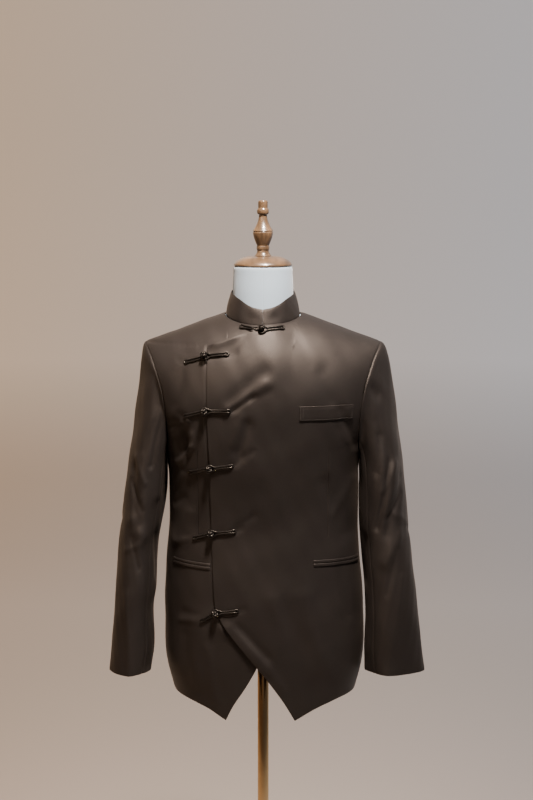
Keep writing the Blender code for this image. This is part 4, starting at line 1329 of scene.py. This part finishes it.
def front_panel(name, node_name, stops, counts, borders, sign, lift, covered, stitched_top, roll=0.0):
    """Makes one front.

    The plain shape comes first, to know how far each point is from a seam, then the pressed seams. The
    free part of the top edge rolls outward by roll.
    """
    across = spread(stops, counts, (0.0025, 0.0075, 0.015))
    up = panel_rows()
    turn, z = patch(*borders, across, up)
    turn = sign * turn
    plain = bare_body(turn, z, -1)
    x = plain[..., 0]
    _, right, bottom, top = edge_distances(plain)
    stitched = stitched_top(across)[None, :]
    seams = pressed(right) + pressed(top) * stitched + pressed(bottom, 0.0005, 0.004)
    rolled = np.exp(-((top / 0.0085) ** 2)) - 0.35 * np.exp(-(((top - 0.022) / 0.010) ** 2))
    rolled *= roll * (smooth_step(across / 0.05) * (1 - smooth_step((across - 0.15) / 0.10)))[None, :]
    points = body(turn, z, -1, lift(x, z) + seams + rolled, covered(x, z))
    cloth = finish_of(cloth_finish)
    thickness = bpy.context.scene.jacket.cloth_thickness
    obj = make_sheet(name, points, cloth, thickness, flip=sign < 0)
    attach(obj, "cloth", node_name)


class JACKET_OT_fronts(bpy.types.Operator):
    """Makes the two fronts: the one on top, with its slanting edge, and the one beneath"""

    bl_idname = "jacket.fronts"
    bl_label = "Fronts"

    def execute(self, context):
        front_panel(
            "cloth_front_over",
            "front_over",
            (0.0, 0.34, 0.56, 1.0),
            (26, 18, 34),
            (
                edge_border(OVER_EDGE, 1),
                side_border,
                hem_border(OVER_HEM, 1),
                front_top(-0.003, OVER_DIAGONAL, 0.34, 0.56, 1),
            ),
            1,
            lambda x, z: overlap_lift(x),
            lambda x, z: 0.0,
            lambda share: smooth_step((share - 0.28) / 0.08),
            0.0040,
        )
        front_panel(
            "cloth_front_under",
            "front_under",
            (0.0, 0.33, 1.0),
            (26, 50),
            (
                edge_border(UNDER_EDGE, -1),
                side_border,
                hem_border(UNDER_HEM, -1),
                front_top(-0.006, (), 0.0, 0.33, -1),
            ),
            -1,
            lambda x, z: -UNDER_INSET * cover(x, z),
            cover,
            np.ones_like,
        )
        return {"FINISHED"}


class JACKET_OT_back(bpy.types.Operator):
    """Makes the back, one plain piece from side seam to side seam"""

    bl_idname = "jacket.back"
    bl_label = "Back"

    def execute(self, context):
        def top(u):
            inward = 1 - np.abs(2 * u - 1)
            x = SHOULDER_TIP_X + (NECK_SIDE_X - SHOULDER_TIP_X) * np.minimum(inward / 0.64, 1.0)
            z = shoulder_height(x)
            neck_x, neck_z = neckline(np.clip((1 - inward) / 0.36, 0.0, 1.0), NECK_BACK_Z)
            x = np.where(inward < 0.64, x, neck_x)
            z = np.where(inward < 0.64, z, neck_z)
            return np.stack((np.where(u < 0.5, 1, -1) * turn_at(x, z), z), -1)

        def bottom(u):
            rise = (2 * u - 1) ** 2
            return np.stack((math.pi / 2 * (1 - 2 * u), BACK_HEM_Z + (SIDE_HEM_Z - BACK_HEM_Z) * rise), -1)

        def right(v):
            return side_border(v) * (-1, 1)

        across = spread((0.0, 0.32, 0.68, 1.0), (32, 36, 32), (0.002, 0.005, 0.010))
        turn, z = patch(side_border, right, bottom, top, across, panel_rows())
        plain = bare_body(turn, z, 1)
        left, right_distance, bottom_distance, top_distance = edge_distances(plain)
        seams = pressed(left) + pressed(right_distance) + pressed(top_distance)
        seams = seams + pressed(bottom_distance, 0.0005, 0.004)
        points = body(turn, z, 1, seams)
        obj = make_sheet("cloth_back", points, finish_of(cloth_finish), context.scene.jacket.cloth_thickness)
        attach(obj, "cloth", "back")
        return {"FINISHED"}


class JACKET_OT_collar(bpy.types.Operator):
    """Makes the stand collar in two halves that meet at the centre front and centre back"""

    bl_idname = "jacket.collar"
    bl_label = "Collar"

    def execute(self, context):
        margins = np.array((0.4, 1.2, 2.4))
        middle = np.linspace(4.0, 176.0, 92)
        turns = np.concatenate(([0.25], margins, middle, 180 - margins[::-1], [179.75]))
        rows = spread((0.0, 1.0), (18,), (0.012, 0.04))
        ahead = turns <= 90
        foot = np.empty((len(turns), 3))
        for side, centre_z, here in ((-1, NECK_FRONT_Z, ahead), (1, NECK_BACK_Z, ~ahead)):
            share = turns[here] / 90 if side < 0 else (180 - turns[here]) / 90
            x, z = neckline(share, centre_z)
            foot[here] = bare_body(turn_at(x, z), z, side)
        outward = unit(foot * (1, 1, 0))
        foot += -outward * COLLAR_INSET + np.array((0, 0, COLLAR_CLEARANCE))
        head = np.stack([read(COLLAR_TOP, turns, column) for column in "xyz"], -1)
        v = rows[:, None, None]
        plain = foot[None] * (1 - v) + head[None] * v
        meeting = 1 - smooth_step(np.minimum(turns, 180 - turns) / 8)
        ends = np.where(turns < 90, plain[:, :1, 0], plain[:, -1:, 0])
        plain[..., 0] -= ends * meeting
        for side, sign in (("left", 1), ("right", -1)):
            left, _, bottom, top = edge_distances(plain)
            out = 0.0012 * np.sin(v[..., 0] * math.pi) + pressed(bottom, 0.0008, 0.003)
            out += 0.5 * waviness(plain[..., 1] * sign * 2.0, plain[..., 2] * 2.0, 3.0 * sign)
            hollow = ((plain[..., 0] - 0.022) / 0.014) ** 2 + ((v[..., 0] - 0.45) / 0.3) ** 2
            out -= 0.0016 * np.exp(-hollow)
            out += pressed(left, 0.0004, 0.003) + pressed(top, 0.0004, 0.003)
            points = plain + outward[None] * out[..., None]
            points[..., 0] = sign * (points[..., 0] + COLLAR_HALF_GAP)
            cloth, thickness = finish_of(cloth_finish), context.scene.jacket.cloth_thickness
            obj = make_sheet(f"cloth_collar_{side}", points, cloth, thickness, flip=sign < 0)
            attach(obj, "cloth", f"collar_{side}")
        return {"FINISHED"}


def armhole(turn):
    """The armhole seam at each turn from the shoulder tip, and the way the sleeve leaves it."""
    starts, leaves = np.empty((len(turn), 3)), np.empty((len(turn), 3))
    shares = (1 - np.cos(math.pi * np.arange(161) / 160)) / 2
    z = SHOULDER_TIP_Z + (ARMPIT_Z - SHOULDER_TIP_Z) * shares
    seam_turn = turn_at(read(ARMHOLE, z, "x"), z)
    for side, here in ((-1, turn >= 0), (1, turn < 0)):
        points = bare_body(seam_turn, z, side)
        lengths = np.pad(np.cumsum(np.linalg.norm(np.diff(points, axis=0), axis=1)), (1, 0))
        down = unit(np.gradient(points, lengths, axis=0))
        key = np.abs(turn[here]) / 180 * lengths[-1]
        at = np.stack([np.interp(key, lengths, points[:, k]) for k in range(3)], -1)
        seam = unit(np.stack([np.interp(key, lengths, down[:, k]) for k in range(3)], -1))
        normal = body_normal(np.interp(key, lengths, seam_turn), np.interp(key, lengths, z), side)
        out = unit(np.cross(normal, seam))
        out = np.where(out[:, :1] < 0, -out, out)
        under = smooth_step((np.abs(turn[here]) - 105) / 65)[:, None]
        leaves[here] = unit(out * (1 - under) + np.array((0.12, 0, -1)) * under)
        off = unit(out * (1 - under) + np.array((1.0, 0, 0)) * under)
        starts[here] = at + off * SLEEVE_CLEARANCE + np.array((0, side * SEAM_HALF_GAP, 0))
    return starts, leaves


def sleeve_ring(rings, turn, z):
    """A sleeve's point at a turn in degrees from its outer side towards the front."""
    turn, z = np.broadcast_arrays(turn, z)
    angle = np.radians(turn)
    power = 2 / read(rings, z, "roundness")
    across = np.sign(np.cos(angle)) * np.abs(np.cos(angle)) ** power
    ahead = np.sign(np.sin(angle)) * np.abs(np.sin(angle)) ** power
    lean = read(rings, z, "lean") * np.maximum(ahead, 0.0) ** 3
    x = read(rings, z, "x") + read(rings, z, "half_width") * across + lean
    return np.stack((x, read(rings, z, "y") - read(rings, z, "half_depth") * ahead, z), -1)


def unrolled(folds):
    """Sleeve folds with their turns as distances round the sleeve."""
    scale = METRES_PER_DEGREE
    return [Fold(f.turn0 * scale, f.z0, f.turn1 * scale, f.z1, f.width, f.height) for f in folds]


def sleeve_points(side, turn, v, press=0.0):
    """A sleeve's outer face: v runs from 1 at the armhole to 0 at the biceps, and to -1 at the cuff."""
    left = side == "left"
    rings = LEFT_RINGS if left else RIGHT_RINGS
    folds = LEFT_SLEEVE_FOLDS if left else RIGHT_SLEEVE_FOLDS
    creases = LEFT_SLEEVE_CREASES if left else RIGHT_SLEEVE_CREASES
    start, leave = armhole(turn)
    lower = sleeve_ring(rings, turn[None, :], (BICEPS_Z + (BICEPS_Z - CUFF_Z) * np.minimum(v, 0.0))[:, None])
    end = sleeve_ring(rings, turn, np.full(turn.shape, BICEPS_Z))
    step = 0.002
    fall = (sleeve_ring(rings, turn, np.full(turn.shape, BICEPS_Z - step)) - end) / step
    drop = (start[:, 2] - end[:, 2])[:, None]
    reach = CAP_REACH[side] * (1 + LONG_CAP_REACH * np.maximum(drop - SHORT_CAP_DROP, 0.0))
    t = np.clip(1 - v, 0.0, 1.0)[:, None, None]
    upper = (
        start * (1 + 2 * t) * (1 - t) ** 2
        + leave * reach * t * (1 - t) ** 2
        + end * t * t * (3 - 2 * t)
        + fall * drop * t * t * (t - 1)
    )
    points = np.where(v[:, None, None] <= 0, lower, upper)
    angle = np.radians(turn)
    out = np.stack((np.cos(angle), -np.sin(angle), np.zeros_like(angle)), -1)[None]
    around = turn[None, :] * METRES_PER_DEGREE
    strength = bpy.context.scene.jacket.crease_strength
    height = fold_height(unrolled(folds), around, points[..., 2])
    height += strength * fold_height(unrolled(creases), around, points[..., 2])
    height += waviness(around * 2.0, points[..., 2], 1.0 if left else 4.0)
    height *= smooth_step((1 - v) / FOLD_FADE)[:, None]
    from_seam = np.linalg.norm(points - points[-1:], axis=2) / SLEEVE_HEAD_WIDTH
    eased = SLEEVE_HEAD_EASE * from_seam * np.exp(1 - from_seam) * (1 - smooth_step((np.abs(turn) - 70) / 50))
    return points + out * (height + eased + press)[..., None]


class JACKET_OT_sleeves(bpy.types.Operator):
    """Makes the two sleeves, each from a wide top piece and a narrow under piece"""

    bl_idname = "jacket.sleeves"
    bl_label = "Sleeves"

    def execute(self, context):
        half_gap = 0.05
        spans = (
            ("top", FRONT_SLEEVE_SEAM - half_gap, BACK_SLEEVE_SEAM + half_gap, 66),
            ("under", BACK_SLEEVE_SEAM - half_gap, FRONT_SLEEVE_SEAM - 360 + half_gap, 32),
        )
        near_armhole = (0.955, 0.968, 0.978, 0.985, 0.990, 0.994, 0.997, 1.0)
        cap = np.concatenate((np.linspace(0.0, 0.94, 62), near_armhole))
        rows = np.concatenate(([-1.0, -0.998, -0.994, -0.988], np.linspace(-0.98, 0.0, 88)[:-1], cap))
        for side, sign in (("left", 1), ("right", -1)):
            for piece, start, end, steps in spans:
                margins = np.array([0.25, 1.0, 2.2]) * (1 if end > start else -1)
                middle = np.linspace(start, end, steps)[1:-1]
                turn = np.concatenate(([start], start + margins, middle, (end - margins)[::-1], [end]))
                turn = np.array(sorted(turn, reverse=True))
                around = np.where(turn < -180, turn + 360, turn)
                plain = sleeve_points(side, around, rows)
                left, right, bottom, top = edge_distances(plain)
                press = pressed(left) + pressed(right) + pressed(top, 0.0009, 0.003)
                press = press + pressed(bottom, 0.0005, 0.004)
                points = sleeve_points(side, around, rows, press) * (sign, 1, 1)
                name = f"sleeve_{piece}_{side}"
                thickness = context.scene.jacket.cloth_thickness
                obj = make_sheet("cloth_" + name, points, finish_of(cloth_finish), thickness, flip=sign < 0)
                attach(obj, "cloth", name)
        return {"FINISHED"}


def stitches(name, route, lift, length=0.0021, pitch=0.0028, radius=0.00024):
    """A row of stitches along a line given as x and z on the front view."""
    route = np.asarray(route, float)
    run = np.pad(np.cumsum(np.linalg.norm(np.diff(route, axis=0), axis=1)), (1, 0))
    tubes = []
    for first in np.arange(0.4 * pitch, run[-1] - length, pitch):
        share = np.array((0.0, 0.12, 0.5, 0.88, 1.0))
        key = first + length * share
        x, z = (np.interp(key, run, route[:, k]) for k in range(2))
        sunk = np.array((-0.0004, 0.0, 0.00012, 0.0, -0.0004))
        tubes.append(tube(front(x, z, lift + sunk), radius, 6))
    obj = add_object(name, cords_mesh(name, tubes), finish_of(thread_finish))
    attach(obj, "cloth")
    return obj


class JACKET_OT_pockets(bpy.types.Operator):
    """Makes the breast pocket's welt with its edge stitching, and the jets of the two hip pockets"""

    bl_idname = "jacket.pockets"
    bl_label = "Pockets"

    def execute(self, context):
        x0, x1, z0, z1 = WELT
        lift = WELT_THICKNESS + TRIM_CLEARANCE
        across = spread((0.0, 1.0), (34,), (0.006, 0.02))
        up = spread((0.0, 1.0), (12,), (0.02, 0.06))
        x = np.broadcast_to(x0 + (x1 - x0) * across[None, :], (len(up), len(across)))
        z = np.broadcast_to((z0 + (z1 - z0) * up)[:, None], x.shape)
        left, right, bottom, top = edge_distances(front(x, z))
        edge = np.minimum(np.minimum(left, right), np.minimum(bottom, top))
        rounded = 0.0004 * np.sin(np.clip(edge / 0.010, 0.0, 1.0) * math.pi / 2)
        rounded = rounded + pressed(edge, 0.0005, 0.0016)
        sunk = -0.00035 * np.exp(-(((edge - 0.0022) / 0.0006) ** 2))
        points = front(x, z, lift + rounded + sunk)
        welt = make_sheet("cloth_breast_welt", points, finish_of(cloth_finish), WELT_THICKNESS)
        inset = 0.0022
        corners = (
            (x0 + inset, z1 - inset),
            (x0 + inset, z0 + inset),
            (x1 - inset, z0 + inset),
            (x1 - inset, z1 - inset),
        )
        edging = stitches("welt_edge_stitches", corners, lift + 0.0002)
        route = ((x0 + 0.0075, z1 - 0.003), (x0 + 0.0075, z0 + 0.0035))
        tacks = stitches("welt_tack_stitches", route, lift + 0.0004)
        attach(welt, "cloth", "breast_welt")

        lift = JET_THICKNESS + TRIM_CLEARANCE
        for pocket in HIP_POCKETS:
            share = spread((0.0, 1.0), (34,), (0.006, 0.02))[None, :]
            rise = np.linspace(-1.0, 1.0, 11)[:, None]
            start, end = turn_at(pocket.x0, pocket.z0), turn_at(pocket.x1, pocket.z1)
            for name, level in (("upper", JET_SPACING / 2), ("lower", -JET_SPACING / 2)):
                z = pocket.z0 + (pocket.z1 - pocket.z0) * share + level + rise * JET_WIDTH / 2
                turn = np.broadcast_to(start + (end - start) * share, z.shape)
                crown = lift + 0.0007 * np.sqrt(1 - rise**2) - 0.0005
                ends = pressed(np.minimum(share, 1 - share) * 0.08, 0.0006, 0.003)
                points = body(turn, z, -1, np.broadcast_to(crown, z.shape) + ends)
                jet = make_sheet(
                    f"cloth_hip_jet_{name}_{pocket.name}", points, finish_of(cloth_finish), JET_THICKNESS
                )
                attach(jet, "cloth", f"hip_jet_{name}_{pocket.name}")
        return {"FINISHED"}


def even_line(points, step, closed, smoothing=4):
    """A chain of points spaced evenly along itself, with its corners rounded."""
    points = np.asarray(points, float)
    if closed:
        points = np.concatenate((points, points[:1]))
    run = np.pad(np.cumsum(np.linalg.norm(np.diff(points, axis=0), axis=1)), (1, 0))
    count = max(int(run[-1] / step), 4)
    keys = run[-1] * np.arange(count + (not closed)) / count
    line = np.stack([np.interp(keys, run, points[:, k]) for k in range(points.shape[1])], -1)
    for _ in range(smoothing):
        if closed:
            line = 0.25 * np.roll(line, 1, 0) + 0.5 * line + 0.25 * np.roll(line, -1, 0)
        else:
            line[1:-1] = 0.25 * line[:-2] + 0.5 * line[1:-1] + 0.25 * line[2:]
    return line


def strap_end(length):
    """The sewn end of a strap, where the cord doubles back, as distances ahead and aside."""
    pitch, width = CORD_HALF_PITCH, END_HALF_WIDTH
    angle = np.radians(np.linspace(-80, 80, 9))
    turn = np.stack((length - width + width * np.cos(angle), width * np.sin(angle)), -1)
    return [(length - 0.0085, -pitch), *map(tuple, turn), (length - 0.0085, pitch)]


def strap_points(frog, end_x, end_z, outline, radius, closed, near_lift):
    """A strap's outline laid on the front, on whichever layer is on top there."""
    knot, end = np.array((frog.knot_x, frog.knot_z)), np.array((end_x, end_z))
    ahead = (end - knot) / np.linalg.norm(end - knot)
    aside = np.array((-ahead[1], ahead[0]))
    line = even_line(outline, 0.0009, closed)
    x, z = (knot + line[:, :1] * ahead + line[:, 1:] * aside).T
    away = np.hypot(*line.T)
    near = 1 - smooth_step((away - 0.0085) / 0.006)
    over = np.maximum(cover(x, z), near) if closed else cover(x, z)
    lift = radius + 0.0002 + overlap_lift(x) * over + near_lift(away)
    return front(x, z, lift)


def knot_tubes(frog, cord_radius):
    """A knot button: one cord woven round a ball three times, over and under itself, on a solid heart."""
    radius = bpy.context.scene.jacket.knot_radius
    centre = front(frog.knot_x, frog.knot_z, KNOT_LIFT)
    out = unit(centre - front(frog.knot_x, frog.knot_z, KNOT_LIFT - 0.002))
    beside = front(frog.knot_x + 0.002, frog.knot_z, KNOT_LIFT) - centre
    beside = unit(beside - out * beside.dot(out))
    above = np.cross(out, beside)
    s = 2 * math.pi * np.arange(176) / 176
    latitude, longitude = math.radians(60) * np.cos(4 * s), 3 * s + 0.4
    reach = (radius + 0.00042 * np.sin(8 * s))[:, None]
    line = centre + reach * (
        (np.cos(latitude) * np.cos(longitude))[:, None] * beside
        + (np.cos(latitude) * np.sin(longitude))[:, None] * above
        + np.sin(latitude)[:, None] * out
    )
    heart_angle = np.radians(np.linspace(-88, 88, 13))
    heart_radius = 0.88 * radius
    heart = centre + (heart_radius * np.sin(heart_angle))[:, None] * out
    woven = tube(line, 0.96 * cord_radius, 10, closed=True)
    return [woven, tube(heart, heart_radius * np.cos(heart_angle), 20)]


class JACKET_OT_frogs(bpy.types.Operator):
    """Makes the six frog closures: a button strap, a loop strap round the knot, and the knot button"""

    bl_idname = "jacket.frogs"
    bl_label = "Frog closures"

    def execute(self, context):
        radius = context.scene.jacket.cord_radius
        satin = finish_of(cord_finish)
        angle = np.radians(np.linspace(52, 308, 25))
        around = np.stack((np.cos(angle), np.sin(angle)), -1) * (LOOP_AROUND + 0.0006)
        for frog in FROGS:
            length = math.hypot(frog.loop_x - frog.knot_x, frog.loop_z - frog.knot_z)
            loop = [
                *map(tuple, around),
                (0.0105, -CORD_HALF_PITCH),
                *strap_end(length),
                (0.0105, CORD_HALF_PITCH),
            ]
            line = strap_points(
                frog,
                frog.loop_x,
                frog.loop_z,
                loop,
                radius,
                True,
                lambda away: 0.0006 * (1 - smooth_step(away / 0.012)),
            )
            length = math.hypot(frog.button_x - frog.knot_x, frog.button_z - frog.knot_z)
            hairpin = [
                (0.0008, -0.0016),
                (0.0040, -0.0019),
                *strap_end(length),
                (0.0040, 0.0019),
                (0.0008, 0.0016),
            ]
            stem = strap_points(
                frog,
                frog.button_x,
                frog.button_z,
                hairpin,
                radius,
                False,
                lambda away: 0.0046 * (1 - smooth_step((away - 0.0010) / 0.0042)),
            )
            tacks = []
            for end_x, end_z in ((frog.loop_x, frog.loop_z), (frog.button_x, frog.button_z)):
                length = math.hypot(end_x - frog.knot_x, end_z - frog.knot_z)
                tack = [(length - 0.0075, 0.0), (length - 0.0028, 0.0)]
                on_loop = end_x > frog.knot_x
                centre = strap_points(frog, end_x, end_z, tack, 0.9 * radius, on_loop, lambda away: 0.0)
                tacks.append(tube(centre, np.linspace(0.35, 0.9, len(centre)) * radius, 10))
            for part, tubes in (
                ("loop_strap", [tube(line, radius, 12, closed=True), tacks[0]]),
                ("button_strap", [tube(stem, radius, 12), tacks[1]]),
                ("knot", knot_tubes(frog, radius)),
            ):
                name = f"frog_{frog.name}_{part}"
                obj = add_object("satin_" + name, cords_mesh("satin_" + name, tubes), satin)
                attach(obj, "cord", name)
        return {"FINISHED"}


class JACKET_OT_neck(bpy.types.Operator):
    """Turns the form's neck block, its round wooden cap and the finial, and covers the torso in jersey"""

    bl_idname = "jacket.neck"
    bl_label = "Neck, cap and finial"

    def execute(self, context):
        steps = context.scene.form.smoothness
        jersey = finish_of(jersey_finish)
        block = turn_piece("jersey_neck_block", NECK_BLOCK, jersey, steps, 0.003)
        attach(block, "jersey", "neck_block")
        cap_look = finish_of(wood_finish, "cap_wood", (6.0, 0.6, 6.0))
        cap = turn_piece("wood_neck_cap", CAP, cap_look, steps)
        attach(cap, "wood", "neck_cap")
        finial_look = finish_of(wood_finish, "finial_wood", (9.0, 9.0, 0.8))
        finial = turn_piece("wood_finial", FINIAL, finial_look, steps, rounding=0.0003)
        attach(finial, "wood", "finial")
        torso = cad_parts["form_torso"]
        torso.data.materials.clear()
        torso.data.materials.append(jersey)
        return {"FINISHED"}


class JACKET_OT_stand(bpy.types.Operator):
    """Turns the brass socket, pole, foot and round base"""

    bl_idname = "jacket.stand"
    bl_label = "Stand"

    def execute(self, context):
        brass = finish_of(brass_finish)
        steps = context.scene.form.smoothness
        for name, rows, bored, rounding in (
            ("form_socket", SOCKET, True, 0.0003),
            ("pole", POLE, False, 0.0002),
            ("pole_foot", FOOT, True, 0.0003),
            ("base", BASE, False, 0.0005),
        ):
            around = 2 * steps if name == "base" else steps
            obj = turn_piece("brass_" + name, rows, brass, around, 0.002, rounding, bored)
            attach(obj, "metal", name)
        return {"FINISHED"}


def aim(obj, place, target):
    obj.location = place
    obj.rotation_euler = (Vector(target) - Vector(place)).to_track_quat("-Z", "Y").to_euler()


def add_light(name, place, target, size, power, colour, spread=180.0):
    light = bpy.data.lights.new(name, "AREA")
    light.spread = math.radians(spread)
    light.shape = "DISK"
    light.size = size
    light.energy = power
    light.color = colour
    aim(add_object(name, light), place, target)


class JACKET_OT_stage(bpy.types.Operator):
    """Makes the room, the lights and the camera"""

    bl_idname = "jacket.stage"
    bl_label = "Stage"

    def execute(self, context):
        stage = context.scene.stage
        room = turn_piece("room", ROOM, room_finish(), 96, 0.15, 0.0)

        chest = (0.0, 0.0, 1.25)
        neck, side_of_chest = (0.0, -0.10, 1.5), (-0.15, 0.0, 1.45)
        warm, amber, cool = (1.0, 0.88, 0.78), (1.0, 0.78, 0.56), (0.66, 0.83, 1.0)
        add_light("key", (0.22, -0.88, 3.05), neck, 0.32, stage.key_power, warm, 110.0)
        add_light("lamp", (-2.1, -2.6, 2.7), side_of_chest, 1.3, stage.lamp_power, amber, 56.0)
        add_light("fill", (2.8, -2.6, 2.0), chest, 2.2, stage.fill_power, cool)
        add_light("back_light", (-1.0, 3.2, 2.6), chest, 2.0, stage.fill_power, (1.0, 0.95, 0.9))
        world = bpy.data.worlds.new("even_light")
        world.use_nodes = True
        sky = world.node_tree.nodes["Background"]
        sky.inputs["Color"].default_value = (*cool, 1.0)
        sky.inputs["Strength"].default_value = stage.world_strength
        context.scene.world = world

        lens = bpy.data.cameras.new("camera")
        lens.sensor_width = 36.0
        lens.lens = 70.3
        lens.clip_end = 60.0
        camera = add_object("camera", lens)
        camera.location = (0.0067, -3.0, 1.67)
        camera.rotation_euler = (math.radians(90.0 - 7.66), 0.0, 0.0)
        context.scene.camera = camera
        return {"FINISHED"}


class JACKET_PT_pieces(bpy.types.Panel):
    """Lists the pieces, with their sizes and colours"""

    bl_idname = "JACKET_PT_pieces"
    bl_label = "Mandarin collar jacket"
    bl_space_type = "VIEW_3D"
    bl_region_type = "UI"
    bl_category = "Jacket"

    def draw(self, context):
        for title, settings, operators in (
            ("Jacket", context.scene.jacket, JACKET_OPERATORS),
            ("Dress form", context.scene.form, FORM_OPERATORS),
            ("Stage", context.scene.stage, (JACKET_OT_stage,)),
        ):
            box = self.layout.box()
            box.label(text=title)
            for name in settings.bl_rna.properties.keys():
                if name not in ("rna_type", "name"):
                    box.prop(settings, name)
            for operator in operators:
                box.operator(operator.bl_idname)


JACKET_OPERATORS = (
    JACKET_OT_fronts,
    JACKET_OT_back,
    JACKET_OT_collar,
    JACKET_OT_sleeves,
    JACKET_OT_pockets,
    JACKET_OT_frogs,
)
FORM_OPERATORS = (JACKET_OT_neck, JACKET_OT_stand)
SETTINGS = (("jacket", JacketSettings), ("form", FormSettings), ("stage", StageSettings))


def register():
    for name, settings in SETTINGS:
        bpy.utils.register_class(settings)
        setattr(bpy.types.Scene, name, bpy.props.PointerProperty(type=settings))
    for made in (*JACKET_OPERATORS, *FORM_OPERATORS, JACKET_OT_stage, JACKET_PT_pieces):
        bpy.utils.register_class(made)


def unregister():
    for made in (JACKET_PT_pieces, JACKET_OT_stage, *FORM_OPERATORS, *JACKET_OPERATORS):
        bpy.utils.unregister_class(made)
    for name, settings in SETTINGS:
        delattr(bpy.types.Scene, name)
        bpy.utils.unregister_class(settings)


def main():
    register()
    bpy.ops.jacket.fronts()
    bpy.ops.jacket.back()
    bpy.ops.jacket.collar()
    bpy.ops.jacket.sleeves()
    bpy.ops.jacket.pockets()
    bpy.ops.jacket.frogs()
    bpy.ops.jacket.neck()
    bpy.ops.jacket.stand()
    bpy.ops.jacket.stage()


if __name__ == "__main__":
    main()
